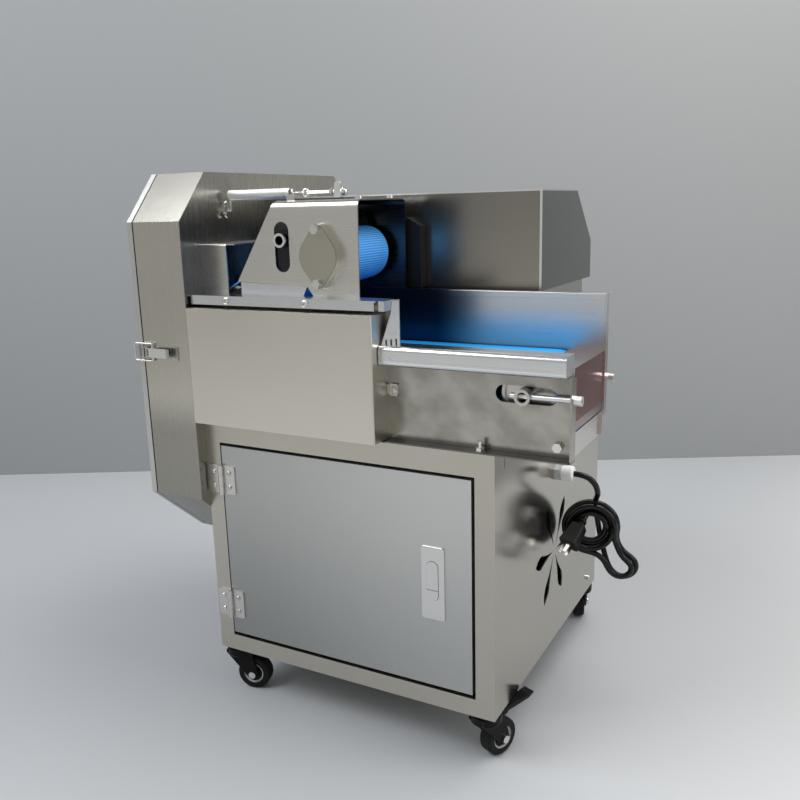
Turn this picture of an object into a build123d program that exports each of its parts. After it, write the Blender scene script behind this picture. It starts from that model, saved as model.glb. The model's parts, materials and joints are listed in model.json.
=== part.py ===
from build123d import *
import math
import os

# Vegetable cutting machine on a wheeled cabinet. Millimetres, +Z up.
# While modelling, the cabinet's front left corner on the floor is the zero point:
# +X runs along the conveyor to its infeed end, +Y goes to the back.
# The export moves everything so that the middle of the footprint is the origin.

os.makedirs("parts", exist_ok=True)

# Sheet metal and general clearances
SHEET = 2.0
RUN_GAP = 0.05
BELT_GAP = 0.3

# Cabinet
CAB_W = 505.0
CAB_D = 524.0
CAB_Z0 = 65.0
CAB_Z1 = 467.0
STILE_LEFT = 29.0
STILE_RIGHT = 30.0
RAIL_TOP = 34.0
RAIL_BOTTOM = 28.0
FRAME_RETURN = 20.0
VENT_Y = 266.0
VENT_Z = 229.0
VENT_R = 94.0
VENT_BLADES = 6
VENT_TURN = 57.0
SLIT_Y = 35.0
SLIT_LENGTH = 14.0
SLIT_WIDTH = 1.6

# Cabinet door and its hardware
DOOR_GAP_HINGE = 2.0
DOOR_GAP_LATCH = 5.0
DOOR_GAP_TOP = 5.0
DOOR_GAP_BOTTOM = 6.0
DOOR_DEPTH = 18.0
HINGE_H = 48.0
HINGE_LEAF_W = 26.0
HINGE_PIN_R = 2.5
HINGE_KNUCKLE_R = 4.5
HINGE_UPPER_Z = 371.0
HINGE_LOWER_Z = 152.0
HINGE_SCREW_R = 3.6
LATCH_W = 37.0
LATCH_H = 114.0
LATCH_EDGE = 43.0
LATCH_Z = 264.0
LATCH_INSERT_W = 19.0
LATCH_INSERT_H = 62.0
LATCH_BUTTON_H = 17.0
LATCH_RIM = 2.5

# Casters
CASTER_H = 80.0
CASTER_INSET = 23.0
WHEEL_R = 29.0
WHEEL_W = 22.0
TRAIL = 24.0
CASTER_BOLT_R = 5.0
FORK_R = 24.0
FORK_SHEET = 3.0
AXLE_R = 4.0
DOME_H = 14.0
HUB_RING_R = 17.5
PEDAL_L = 92.0

# Lower conveyor
FRONT_PLATE_Y = 20.0
REAR_PLATE_Y = 160.0
CONV_END_X = 606.0
ROLLER_R = 37.5
BELT_T = 2.2
BELT_W = 128.0
AXIS_Z = 550.0
DRUM_X = 60.0
TAIL_X = 541.0
TAIL_TUBE_R = 11.0
TAKEUP_TRAVEL = 15.0
SLOT_X0 = 498.0
SLOT_X1 = 584.0
SLOT_H = 24.0
CLAMP_BOLT_X = 480.0
CLAMP_BOLT_Y = 9.0
LIP_X0 = 335.0
LIP_X1 = 604.0
LIP_Z0 = 580.0
LIP_Z1 = 609.0
LIP_Y0 = -10.0
WALL_X1 = 354.0
WALL_TOP_Z = 671.0
END_FLANGE = 17.0
REAR_FLANGE = 11.0
HEM_T = 1.5
HEM_H = 9.0
DECK_Z = 590.0
SHAFT_R = 10.0

# Feed drive
DRIVE_X = 290.0
DRIVE_PULLEY_R = 28.0
GEAR_MODULE = 3.0
GEAR_TEETH = 20
GEAR_W = 10.0
GEAR_Y0 = 170.0
PULLEY_Y0 = 182.0
PULLEY_W = 9.0
DRIVE_BELT_T = 3.0
COVER_X0 = 2.0
COVER_X1 = 334.0
COVER_Y0 = -26.0
COVER_Z0 = 469.5
COVER_Z1 = 652.0

# Press unit
PRESS_Y0 = 24.0
PRESS_Y1 = 168.0
PRESS_TOP_Z = 809.0
PRESS_RIGHT_X = 290.0
PRESS_X = 228.0
PRESS_Z = 729.0
NOSE_X = 60.0
NOSE_Z = 662.0
NOSE_R = 20.0
PRESS_BELT_W = 116.0
GUIDE_X = 157.0
GUIDE_Z = 752.0
GUIDE_TUBE_R = 10.5
GUIDE_SLOT_W = 26.0
GUIDE_SLOT_Z0 = 705.0
GUIDE_SLOT_Z1 = 779.0
LEVER_X = 217.0
LEVER_TOP_Z = 836.0
ROD_Z = 821.0
MID_Y = 91.0
SPRING_X0 = 10.0
SPRING_X1 = 132.0
SPRING_R = 8.0
HOUSING_LUG = 38.5
HOUSING_R = 33.5

# Ledge over the transmission cover
LEDGE_X1 = 335.0
LEDGE_Y0 = -12.0
LEDGE_LIP_Z = 657.0

# Knife hood
HOOD_W = 96.0
GASKET_T = 2.5
COVER_T = 11.5
HOOD_Y0 = -20.0
HOOD_Y1 = 484.0
HOOD_Z0 = 239.0
HOOD_Z1 = 857.0
TOP_CHAMFER_Y = 64.0
TOP_CHAMFER_Z = 74.0
LOW_CHAMFER_Y = 112.0
LOW_CHAMFER_Z = 98.0
MOUTH_Z1 = 664.0
THROAT_X1 = 50.0
THROAT_Z1 = 747.0
TOGGLE_Z = 578.0
TOGGLE_REACH = 12.0

# Knife and its drive
KNIFE_Y = 240.0
KNIFE_Z = 575.0
KNIFE_R = 216.0
KNIFE_T = 3.0
KNIFE_SHAFT_R = 12.5
KNIFE_PULLEY_X = 73.0
KNIFE_PULLEY_R = 27.0
MOTOR_PULLEY_R = 18.0
MOTOR_Z = 190.0
MOTOR_R = 68.0
V_BELT_W = 12.0

# Rear housing and control box
BOX_X1 = 500.0
BOX_Y0 = 198.0
BOX_Y1 = 456.0
BOX_Z0 = 668.0
BOX_Z1 = 816.0
SLOPE_Y = 369.0
SLOPE_Z = 731.0
HOUSING_INSET = 6.0
RIM_W = 12.0

# Power cord
GLAND_Y = 268.0
GLAND_Z = 366.0
GLAND_L = 30.0
CORD_D = 9.5


def box(x0, x1, y0, y1, z0, z1):
    middle = Pos((x0 + x1) / 2, (y0 + y1) / 2, (z0 + z1) / 2)
    return middle * Box(x1 - x0, y1 - y0, z1 - z0)


def rod_x(x0, x1, y, z, r):
    return Pos((x0 + x1) / 2, y, z) * Rot(0, 90, 0) * Cylinder(r, x1 - x0)


def rod_y(x, z, y0, y1, r):
    return Pos(x, (y0 + y1) / 2, z) * Rot(90, 0, 0) * Cylinder(r, y1 - y0)


def rod_z(x, y, z0, z1, r):
    return Pos(x, y, (z0 + z1) / 2) * Cylinder(r, z1 - z0)


def polygon(points):
    return make_face(Polyline(*points, close=True))


def plate_xz(sketch, y0, y1):
    return extrude(Plane.XZ.offset(-y1) * sketch, y1 - y0)


def plate_yz(sketch, x0, x1):
    return extrude(Plane.YZ.offset(x0) * sketch, x1 - x0)


def hull_of_circles(circles):
    edges = []
    for x, z, r in circles:
        edges += (Pos(x, z) * Circle(r)).edges()
    return make_hull(edges)


def belt_loop(x0, z0, r0, x1, z1, r1, thick, y0, y1):
    outer = hull_of_circles([(x0, z0, r0 + thick), (x1, z1, r1 + thick)])
    inner = hull_of_circles([(x0, z0, r0), (x1, z1, r1)])
    return plate_xz(outer - inner, y0, y1)


def hex_bolt_y(x, z, y_face, length, r):
    head = Pos(x, y_face - r / 2, z) * Rot(90, 0, 0) * extrude(RegularPolygon(r, 6), r / 2, both=True)
    if length > 0:
        head += rod_y(x, z, y_face, y_face + length, r * 0.55)
    return head


def button_screw_y(x, z, y_face, length, r):
    head = rod_y(x, z, y_face - r * 0.7, y_face, r)
    head = fillet(head.edges().group_by(Axis.Y)[0], r * 0.4)
    hexagon = extrude(RegularPolygon(r * 0.4, 6), r * 0.35, both=True)
    socket = Pos(x, y_face - r * 0.7, z) * Rot(90, 0, 0) * hexagon
    return head - socket + rod_y(x, z, y_face, y_face + length, r * 0.45)


def gear_outline(module, teeth, slack=0.12, turn=0.0):
    pitch_r = module * teeth / 2
    base_r = pitch_r * math.cos(math.radians(20))
    tip_r = pitch_r + module
    root_r = pitch_r - 1.25 * module

    def involute(r):
        a = math.acos(min(1.0, base_r / r))
        return math.tan(a) - a

    half_tooth = math.pi / (2 * teeth) - slack / pitch_r
    steps = [max(base_r, root_r) + (tip_r - max(base_r, root_r)) * i / 4 for i in range(5)]
    points = []
    for tooth in range(teeth):
        middle = math.radians(turn) + 2 * math.pi * tooth / teeth
        half = [half_tooth + involute(pitch_r) - involute(r) for r in steps]
        flank = list(zip(steps, half))
        rising = [(root_r, half[0])] + flank
        for r, a in rising:
            points.append((r * math.cos(middle - a), r * math.sin(middle - a)))
        for r, a in reversed(rising):
            points.append((r * math.cos(middle + a), r * math.sin(middle + a)))
    return polygon(points)


parts = {}

# Places worked out from the driving dimensions
open_x0 = STILE_LEFT
open_x1 = CAB_W - STILE_RIGHT
open_z0 = CAB_Z0 + RAIL_BOTTOM
open_z1 = CAB_Z1 - RAIL_TOP
door_x0 = open_x0 + DOOR_GAP_HINGE
door_x1 = open_x1 - DOOR_GAP_LATCH
door_z0 = open_z0 + DOOR_GAP_BOTTOM
door_z1 = open_z1 - DOOR_GAP_TOP
front_in = FRONT_PLATE_Y + SHEET
belt_y0 = (front_in + REAR_PLATE_Y - BELT_W) / 2
belt_y1 = belt_y0 + BELT_W
drum_y0 = belt_y0 + 2
drum_y1 = belt_y1 - 2
belt_in = ROLLER_R + BELT_GAP
rear_out = REAR_PLATE_Y + SHEET
hood_x = -HOOD_W
gasket_x = hood_x - GASKET_T
cover_x = gasket_x - COVER_T
floor_z = CAB_Z0 - CASTER_H
wheel_z = floor_z + WHEEL_R
casters = {
    "front_left": (CASTER_INSET, CASTER_INSET, 15.0),
    "front_right": (CAB_W - CASTER_INSET, CASTER_INSET, 67.0),
    "rear_right": (CAB_W - CASTER_INSET, CAB_D - CASTER_INSET, 108.0),
    "rear_left": (CASTER_INSET, CAB_D - CASTER_INSET, 200.0),
}
bolt_boss_h = 16.0
BOSS_R = 15.0
BOSS_STEP = 3.0
SCREW_HOLE_R = 2.1
SLIT_FROM_TOP = 12.0
GLAND_HOLE_R = 10.0
hinge_x = (open_x0 + door_x0) / 2
hinge_y = -HINGE_KNUCKLE_R
frame_screw_x = hinge_x - 15
hinge_heights = (HINGE_UPPER_Z, HINGE_LOWER_Z)


# Cabinet: sheet panels welded at their edges, with a front frame and a vent
def belt_cut(z0, z1):
    belt_half = KNIFE_PULLEY_R + 9
    return box(KNIFE_PULLEY_X - 14, KNIFE_PULLEY_X + 14, KNIFE_Y - belt_half, KNIFE_Y + belt_half, z0, z1)


def vent_blade():
    wide_r = VENT_R * 0.7
    root_r = VENT_R * 0.13
    middle_r = (wide_r + root_r) / 2
    edge = ThreePointArc((root_r, -0.7), (middle_r, -3.6), (wide_r, -11))
    edge += ThreePointArc((wide_r, -11), (wide_r * 1.26, -8), (VENT_R, 1))
    edge += ThreePointArc((VENT_R, 1), (wide_r * 1.2, 9.5), (wide_r, 12))
    edge += ThreePointArc((wide_r, 12), (middle_r, 4.2), (root_r, 0.7))
    return make_face(edge + Line((root_r, 0.7), (root_r, -0.7)))


def welded(panels):
    return Compound([solid for panel in panels for solid in panel.solids()])


def frame_bars():
    z0, z1 = CAB_Z0 + SHEET, CAB_Z1 - SHEET
    left = box(SHEET, open_x0, 0, SHEET, z0, z1)
    left += box(open_x0 - SHEET, open_x0, SHEET, FRAME_RETURN, open_z0 - SHEET, open_z1 + SHEET)
    for z in hinge_heights:
        for dz in (-HINGE_H / 4, HINGE_H / 4):
            left -= rod_y(frame_screw_x, z + dz, -1, SHEET + 1, SCREW_HOLE_R)
    right = box(open_x1, CAB_W - SHEET, 0, SHEET, z0, z1)
    right += box(open_x1, open_x1 + SHEET, SHEET, FRAME_RETURN, open_z0 - SHEET, open_z1 + SHEET)
    top = box(open_x0, open_x1, 0, SHEET, open_z1, z1)
    top += box(open_x0, open_x1, SHEET, FRAME_RETURN, open_z1, open_z1 + SHEET)
    bottom = box(open_x0, open_x1, 0, SHEET, z0, open_z0)
    bottom += box(open_x0, open_x1, SHEET, FRAME_RETURN, open_z0 - SHEET, open_z0)
    return [left, right, top, bottom]


def vented_side():
    side = box(CAB_W - SHEET, CAB_W, 0, CAB_D, CAB_Z0 + SHEET, CAB_Z1 - SHEET)
    blades = Sketch()
    for i in range(VENT_BLADES):
        blades += Rot(0, 0, VENT_TURN + i * 360 / VENT_BLADES) * vent_blade()
    side -= plate_yz(Pos(VENT_Y, VENT_Z) * blades, CAB_W - SHEET - 1, CAB_W + 1)
    slit_z = CAB_Z1 - SLIT_FROM_TOP
    side -= box(CAB_W - SHEET - 1, CAB_W + 1, SLIT_Y, SLIT_Y + SLIT_WIDTH, slit_z - SLIT_LENGTH, slit_z)
    return side - rod_x(CAB_W - SHEET - 1, CAB_W + 1, GLAND_Y, GLAND_Z, GLAND_HOLE_R)


def cabinet_shell():
    left = box(0, SHEET, 0, CAB_D, CAB_Z0 + SHEET, CAB_Z1 - SHEET)
    back = box(SHEET, CAB_W - SHEET, CAB_D - SHEET, CAB_D, CAB_Z0 + SHEET, CAB_Z1 - SHEET)
    floor = box(0, CAB_W, 0, CAB_D, CAB_Z0, CAB_Z0 + SHEET)
    top = box(0, CAB_W, 0, CAB_D, CAB_Z1 - SHEET, CAB_Z1)
    top -= belt_cut(CAB_Z1 - SHEET - 1, CAB_Z1 + 1)
    bosses = []
    for x, y, _ in casters.values():
        floor -= rod_z(x, y, CAB_Z0 - 1, CAB_Z0 + SHEET + 1, BOSS_R)
        boss = rod_z(x, y, CAB_Z0 - BOSS_STEP, CAB_Z0 + SHEET + bolt_boss_h, BOSS_R)
        bore_z1 = CAB_Z0 + bolt_boss_h - 2
        bosses += [boss - rod_z(x, y, CAB_Z0 - BOSS_STEP - 1, bore_z1, CASTER_BOLT_R + RUN_GAP)]
    return welded([*frame_bars(), left, vented_side(), back, floor, top, *bosses])


parts["cabinet_shell"] = cabinet_shell()

# Cabinet door with returned edges
latch_x = door_x1 - LATCH_EDGE - LATCH_W / 2 + 1
insert_z0 = LATCH_Z - LATCH_INSERT_H / 2 + 4
insert_z1 = insert_z0 + LATCH_INSERT_H
split_z = insert_z0 + LATCH_BUTTON_H


def door_leaf_screw_places():
    places = []
    for z in (HINGE_UPPER_Z, HINGE_LOWER_Z):
        places += [(hinge_x + 15, z - HINGE_H / 4), (hinge_x + 15, z + HINGE_H / 4)]
    return places


def cabinet_door():
    door = box(door_x0, door_x1, 0, DOOR_DEPTH, door_z0, door_z1)
    door -= box(door_x0 + SHEET, door_x1 - SHEET, SHEET, DOOR_DEPTH + 1, door_z0 + SHEET, door_z1 - SHEET)
    door -= box(latch_x - LATCH_W / 2 + 5, latch_x + LATCH_W / 2 - 5, -1, SHEET + 1,
                LATCH_Z - LATCH_H / 2 + 8, LATCH_Z + LATCH_H / 2 - 8)
    for x, z in door_leaf_screw_places():
        door -= rod_y(x, z, -1, SHEET + 1, 2.1)
    return door


parts["cabinet_door"] = cabinet_door()


def hinge_leaf(z, side):
    third = HINGE_H / 3
    if side > 0:
        spans = [(z - third / 2 + 0.2, z + third / 2 - 0.2)]
        bore = HINGE_PIN_R + RUN_GAP
    else:
        spans = [(z - HINGE_H / 2, z - third / 2), (z + third / 2, z + HINGE_H / 2)]
        bore = HINGE_PIN_R
    near = hinge_x + side * 1.2
    far = hinge_x + side * HINGE_LEAF_W
    leaf = box(min(near, far), max(near, far), -SHEET, 0, z - HINGE_H / 2, z + HINGE_H / 2)
    leaf = fillet(leaf.edges().filter_by(Axis.Y).sort_by(Axis.X)[-2:] if side > 0 else
                  leaf.edges().filter_by(Axis.Y).sort_by(Axis.X)[:2], 4)
    leaf -= rod_z(hinge_x, hinge_y, z - HINGE_H, z + HINGE_H, HINGE_KNUCKLE_R + 0.4)
    for z0, z1 in spans:
        leaf += box(min(near, hinge_x), max(near, hinge_x), -SHEET, 0, z0, z1)
        leaf += rod_z(hinge_x, hinge_y, z0, z1, HINGE_KNUCKLE_R)
        neck_end = hinge_x + side * 5.5
        leaf += box(min(hinge_x, neck_end), max(hinge_x, neck_end), -SHEET, 0, z0, z1)
    leaf -= rod_z(hinge_x, hinge_y, z - HINGE_H, z + HINGE_H, bore)
    for dz in (-HINGE_H / 4, HINGE_H / 4):
        leaf -= rod_y(hinge_x + side * 15, z + dz, -SHEET - 1, 1, 2.1)
    return leaf


def hinge_pin(z):
    return rod_z(hinge_x, hinge_y, z - HINGE_H / 2, z + HINGE_H / 2 + 1.5, HINGE_PIN_R)


def leaf_screw(x, z):
    return button_screw_y(x, z, -SHEET, SHEET * 2 + 3, HINGE_SCREW_R)


parts["frame_hinge_leaves"] = Compound(
    [hinge_leaf(z, -1) for z in hinge_heights] + [hinge_pin(z) for z in hinge_heights])
parts["door_hinge_leaves"] = Compound(
    [hinge_leaf(z, 1) for z in hinge_heights] + [leaf_screw(x, z) for x, z in door_leaf_screw_places()])


def latch_body():
    face = Pos(latch_x, LATCH_Z) * RectangleRounded(LATCH_W, LATCH_H, 4)
    body = plate_xz(face, -LATCH_RIM, 0)
    body = fillet(body.edges().group_by(Axis.Y)[0], 1)
    tub = Pos(latch_x, LATCH_Z) * RectangleRounded(LATCH_W - 10.4, LATCH_H - 16.4, 3)
    body += plate_xz(tub, 0, 12)
    insert = Pos(latch_x, (insert_z0 + insert_z1) / 2)
    body -= plate_xz(insert * SlotOverall(LATCH_INSERT_H, LATCH_INSERT_W, rotation=90), -LATCH_RIM - 1, 8)
    body -= rod_y(latch_x, insert_z0 + LATCH_BUTTON_H / 2 + 1, 7, 13, 3.1)
    return body


parts["latch_body"] = latch_body()


def latch_insert(z0, z1, y0, y1, inset):
    whole = Pos(latch_x, (insert_z0 + insert_z1) / 2) * SlotOverall(
        LATCH_INSERT_H - 2 * inset, LATCH_INSERT_W - 2 * inset, rotation=90)
    band = Pos(latch_x, (z0 + z1) / 2) * Rectangle(LATCH_W, z1 - z0)
    return plate_xz(whole & band, y0, y1)


handle = latch_insert(split_z + 0.4, insert_z1 + 1, -LATCH_RIM - 0.8, 4, 0.5)
handle -= rod_x(latch_x - 20, latch_x + 20, 7, split_z + 4, 5)
parts["latch_handle"] = handle
button = latch_insert(insert_z0 - 1, split_z - 0.4, -LATCH_RIM - 0.8, 3.5, 0.5)
button += rod_y(latch_x, insert_z0 + LATCH_BUTTON_H / 2 + 1, 3, 14, 3)
parts["latch_button"] = button


# Swivel casters, the front right one with ears for its brake pedal
pedal_x = FORK_R + 5.5
pedal_z = CAB_Z0 - 9


def caster_fork(name):
    x, y, turn = casters[name]
    dome_z1 = CAB_Z0 - BOSS_STEP - BELT_GAP
    dome = rod_z(0, 0, dome_z1 - DOME_H, dome_z1, FORK_R)
    dome = fillet(dome.edges().group_by(Axis.Z)[0], 4)
    dome += rod_z(0, 0, dome_z1, CAB_Z0 + 10, CASTER_BOLT_R)
    fork_gap = WHEEL_W / 2 + 1
    arm_y1 = fork_gap + FORK_SHEET
    crown_z = dome_z1 - 7
    outline = hull_of_circles([(-FORK_R + 7, crown_z, 5), (FORK_R - 6, crown_z, 5), (TRAIL, wheel_z, 10)])
    fork = dome
    for side in (-1, 1):
        y0 = min(side * fork_gap, side * arm_y1)
        fork += plate_xz(outline, y0, y0 + FORK_SHEET)
    fork += rod_y(TRAIL, wheel_z, -arm_y1 - 3, arm_y1 + 3, AXLE_R)
    fork += rod_y(TRAIL, wheel_z, -arm_y1 - 4, -arm_y1, 6)
    fork += Pos(TRAIL, arm_y1 + 4, wheel_z) * Rot(90, 0, 0) * extrude(RegularPolygon(6.5, 6), 4)
    room = rod_y(TRAIL, wheel_z, -WHEEL_W / 2 - 0.5, WHEEL_W / 2 + 0.5, WHEEL_R + 2)
    fork -= room - rod_y(TRAIL, wheel_z, -20, 20, AXLE_R)
    if name == "front_right":
        for y0 in (-12.5, 9.5):
            ear = hull_of_circles([(FORK_R - 6, pedal_z, 4.2), (pedal_x, pedal_z, 4.2)])
            fork += plate_xz(ear, y0, y0 + 3)
        fork += rod_y(pedal_x, pedal_z, -12.5, 12.5, 2)
    return Pos(x, y, 0) * Rot(0, 0, turn) * fork


def caster_wheel(name):
    x, y, turn = casters[name]
    half = WHEEL_W / 2
    wheel = rod_y(TRAIL, wheel_z, -half, half, WHEEL_R)
    rims = wheel.edges().filter_by(GeomType.CIRCLE)
    wheel = fillet(rims, 4)
    for side in (-1, 1):
        y0, y1 = sorted((side * (half - 2), side * (half + 1)))
        wheel -= rod_y(TRAIL, wheel_z, y0, y1, HUB_RING_R) - rod_y(TRAIL, wheel_z, y0, y1, HUB_RING_R - 7)
    wheel -= rod_y(TRAIL, wheel_z, -WHEEL_W, WHEEL_W, AXLE_R + RUN_GAP)
    return Pos(x, y, 0) * Rot(0, 0, turn) * wheel


for name in casters:
    parts["caster_fork_" + name] = caster_fork(name)
    parts["caster_wheel_" + name] = caster_wheel(name)



def brake_pedal():
    x, y, turn = casters["front_right"]
    outline = hull_of_circles([(pedal_x, pedal_z, 4.2), (PEDAL_L - 10, pedal_z + 2, 3)])
    outline += hull_of_circles([(PEDAL_L - 10, pedal_z + 2, 3), (PEDAL_L, pedal_z + 5, 1.5)])
    pedal = plate_xz(outline, -9, 9)
    for i in range(3):
        pedal -= rod_y(PEDAL_L - 26 + 6 * i, pedal_z + 4.6 + 0.2 * i, -10, 10, 1.2)
    pedal -= rod_y(pedal_x, pedal_z, -10, 10, 2 + RUN_GAP)
    return Pos(x, y, 0) * Rot(0, 0, turn) * pedal


parts["brake_pedal"] = brake_pedal()

# Lower conveyor: side plates, trough and belt
takeup_y_front = FRONT_PLATE_Y - 8
takeup_y_rear = rear_out + 8
ledge_screw_x = (LEDGE_X1 * 0.22, LEDGE_X1 * 0.65)
ledge_screw_z = WALL_TOP_Z - 7


def take_up_slot(y0, y1):
    middle = (SLOT_X0 + SLOT_X1) / 2
    return plate_xz(Pos(middle, AXIS_Z) * SlotOverall(SLOT_X1 - SLOT_X0, SLOT_H), y0, y1)


def conveyor_front_plate():
    outline = polygon([(0, CAB_Z1), (CONV_END_X, CAB_Z1), (CONV_END_X, LIP_Z0), (WALL_X1, LIP_Z0),
                       (WALL_X1, WALL_TOP_Z - SHEET), (0, WALL_TOP_Z - SHEET)])
    plate = plate_xz(outline, FRONT_PLATE_Y, front_in)
    plate += box(COVER_X1 + 2, CONV_END_X, 0, FRONT_PLATE_Y, CAB_Z1, CAB_Z1 + SHEET)
    plate += box(CONV_END_X, CONV_END_X + SHEET, FRONT_PLATE_Y - END_FLANGE, front_in, CAB_Z1, LIP_Z0)
    plate -= take_up_slot(FRONT_PLATE_Y - 1, front_in + 1)
    plate -= rod_y(DRUM_X, AXIS_Z, 0, 40, SHAFT_R + 3)
    plate -= rod_y(DRIVE_X, AXIS_Z, 0, 40, SHAFT_R + 3)
    plate -= rod_x(CONV_END_X - 1, CONV_END_X + 5, takeup_y_front, AXIS_Z, 4.1)
    for x in ledge_screw_x:
        plate += box(x - 6, x + 6, LEDGE_Y0 + SHEET, FRONT_PLATE_Y, ledge_screw_z - 5, WALL_TOP_Z - SHEET)
        plate -= rod_y(x, ledge_screw_z, LEDGE_Y0, 0, 2.5)
    return plate


def conveyor_rear_plate():
    plate = box(0, CONV_END_X, REAR_PLATE_Y, rear_out, CAB_Z1, WALL_TOP_Z)
    plate += box(0, CONV_END_X, rear_out, rear_out + 7, WALL_TOP_Z - SHEET, WALL_TOP_Z)
    flange_y1 = rear_out + REAR_FLANGE
    plate += box(CONV_END_X, CONV_END_X + SHEET, REAR_PLATE_Y, flange_y1, CAB_Z1 + 30, WALL_TOP_Z)
    hem = box(WALL_X1 + 12, CONV_END_X, REAR_PLATE_Y - HEM_T, REAR_PLATE_Y, WALL_TOP_Z - HEM_H, WALL_TOP_Z)
    plate += fillet(hem.edges().filter_by(Axis.X).group_by(Axis.Y)[0], HEM_T * 0.6)
    plate += box(CONV_END_X - HEM_H, CONV_END_X, REAR_PLATE_Y - HEM_T, REAR_PLATE_Y,
                 DECK_Z + HEM_H, WALL_TOP_Z - HEM_H)
    plate -= take_up_slot(REAR_PLATE_Y - 1, rear_out + 1)
    plate -= rod_y(DRUM_X, AXIS_Z, 150, 170, SHAFT_R + 3)
    plate -= rod_y(DRIVE_X, AXIS_Z, 150, 170, SHAFT_R + 3)
    plate -= rod_x(CONV_END_X - 1, CONV_END_X + 5, takeup_y_rear, AXIS_Z, 4.1)
    bed_top = AXIS_Z + ROLLER_R
    bed_x0 = DRUM_X + ROLLER_R + 10
    bed_x1 = TAIL_X - ROLLER_R - TAKEUP_TRAVEL - 5
    bed_y0 = front_in + SHEET
    plate += box(bed_x0, bed_x1, bed_y0, REAR_PLATE_Y, bed_top - SHEET, bed_top)
    plate += box(bed_x0, bed_x1, bed_y0, bed_y0 + SHEET, bed_top - 7, bed_top)
    plate += box(0, DRUM_X - 22, bed_y0, REAR_PLATE_Y, bed_top - SHEET, bed_top)
    return plate


parts["conveyor_front_plate"] = conveyor_front_plate()
parts["conveyor_rear_plate"] = conveyor_rear_plate()


def trough_lip():
    y1 = front_in + SHEET
    outer = box(LIP_X0, LIP_X1, LIP_Y0, y1, LIP_Z0, LIP_Z1)
    outer = fillet(outer.edges().filter_by(Axis.X).group_by(Axis.Y)[0], 7)
    hollow = box(LIP_X0 + SHEET, LIP_X1 - SHEET, LIP_Y0 + SHEET, y1 - SHEET, LIP_Z0 + SHEET, LIP_Z1 - SHEET)
    hollow = fillet(hollow.edges().filter_by(Axis.X).group_by(Axis.Y)[0], 5)
    bead = Pos((LIP_X0 + LIP_X1) / 2, (LIP_Z0 + LIP_Z1) / 2) * SlotOverall(LIP_X1 - LIP_X0 - 36, 9)
    lip = outer - hollow - plate_xz(bead, LIP_Y0 - 1, LIP_Y0 + 0.6)
    return lip - box(LIP_X0 - 1, WALL_X1, FRONT_PLATE_Y, y1 + 1, LIP_Z0 - 1, LIP_Z1 + 1)


parts["trough_lip"] = trough_lip()


def trough_end_plate():
    x1 = CONV_END_X
    plate = box(x1 - SHEET, x1, front_in, REAR_PLATE_Y, AXIS_Z - 32, DECK_Z)
    plate += box(TAIL_X + 16, x1, front_in, REAR_PLATE_Y, DECK_Z - SHEET, DECK_Z)
    cross = box(x1 - 3 * SHEET, x1 - 2 * SHEET, front_in, REAR_PLATE_Y, CAB_Z1, CAB_Z1 + 33)
    cross += box(x1 - 18, x1 - 2 * SHEET, front_in, REAR_PLATE_Y, CAB_Z1, CAB_Z1 + SHEET)
    plate -= box(x1 - 60, x1 - SHEET, front_in - 1, front_in + SHEET, LIP_Z0, LIP_Z1)
    return Compound([plate, cross])


parts["trough_end_plate"] = trough_end_plate()
parts["feed_belt"] = belt_loop(DRUM_X, AXIS_Z, belt_in, TAIL_X, AXIS_Z, belt_in, BELT_T, belt_y0, belt_y1)


def hollow_roller(x, z, y0, y1, r, bore):
    roller = rod_y(x, z, y0, y1, r) - rod_y(x, z, y0 - 1, y1 + 1, r - 4)
    for a, b in ((y0 + 4, y0 + 12), (y1 - 12, y1 - 4)):
        roller += rod_y(x, z, a, b, r - 3.9)
    return roller - rod_y(x, z, y0 - 1, y1 + 1, bore)


def timing_pulley(x, z, y0, y1, r):
    pulley = rod_y(x, z, y0, y1, r)
    for a, b in ((y0 - 1.5, y0), (y1, y1 + 1.5)):
        pulley += rod_y(x, z, a, b, r + 4)
    return pulley


front_pulley_y0 = -16.0
front_pulley_y1 = front_pulley_y0 + PULLEY_W + 2
drum = hollow_roller(DRUM_X, AXIS_Z, drum_y0, drum_y1, ROLLER_R, SHAFT_R)
drum += rod_y(DRUM_X, AXIS_Z, front_pulley_y0 - 5, rear_out + 12, SHAFT_R)
drum += timing_pulley(DRUM_X, AXIS_Z, front_pulley_y0, front_pulley_y1, DRIVE_PULLEY_R)
parts["drive_drum"] = drum

tail_y0 = takeup_y_front - 9
tail_y1 = takeup_y_rear + 9
axle = rod_y(TAIL_X, AXIS_Z, tail_y0, tail_y1, TAIL_TUBE_R)
axle -= rod_y(TAIL_X, AXIS_Z, tail_y0 - 1, tail_y1 + 1, TAIL_TUBE_R - 4)
for y in (takeup_y_front, takeup_y_rear):
    axle -= rod_x(TAIL_X - 20, TAIL_X + 20, y, AXIS_Z, 4 + 0.1)
parts["tail_axle"] = axle
parts["tail_roller"] = hollow_roller(TAIL_X, AXIS_Z, drum_y0, drum_y1, ROLLER_R, TAIL_TUBE_R + RUN_GAP)


def takeup_screw(y):
    screw = rod_x(TAIL_X - 18, CONV_END_X + SHEET + 10, y, AXIS_Z, 4)
    head = rod_x(CONV_END_X + SHEET + 3, CONV_END_X + SHEET + 11, y, AXIS_Z, 6.5)
    head -= rod_x(CONV_END_X + SHEET + 7, CONV_END_X + SHEET + 12, y, AXIS_Z, 3)
    nut = Pos(CONV_END_X + SHEET + 0.3, y, AXIS_Z) * Rot(0, 90, 0) * extrude(RegularPolygon(6.5, 6), 2.7)
    return screw - rod_x(CONV_END_X + SHEET + 7, CONV_END_X + SHEET + 12, y, AXIS_Z, 3) + head + nut


parts["takeup_screws"] = Compound([takeup_screw(takeup_y_front), takeup_screw(takeup_y_rear)])


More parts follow.
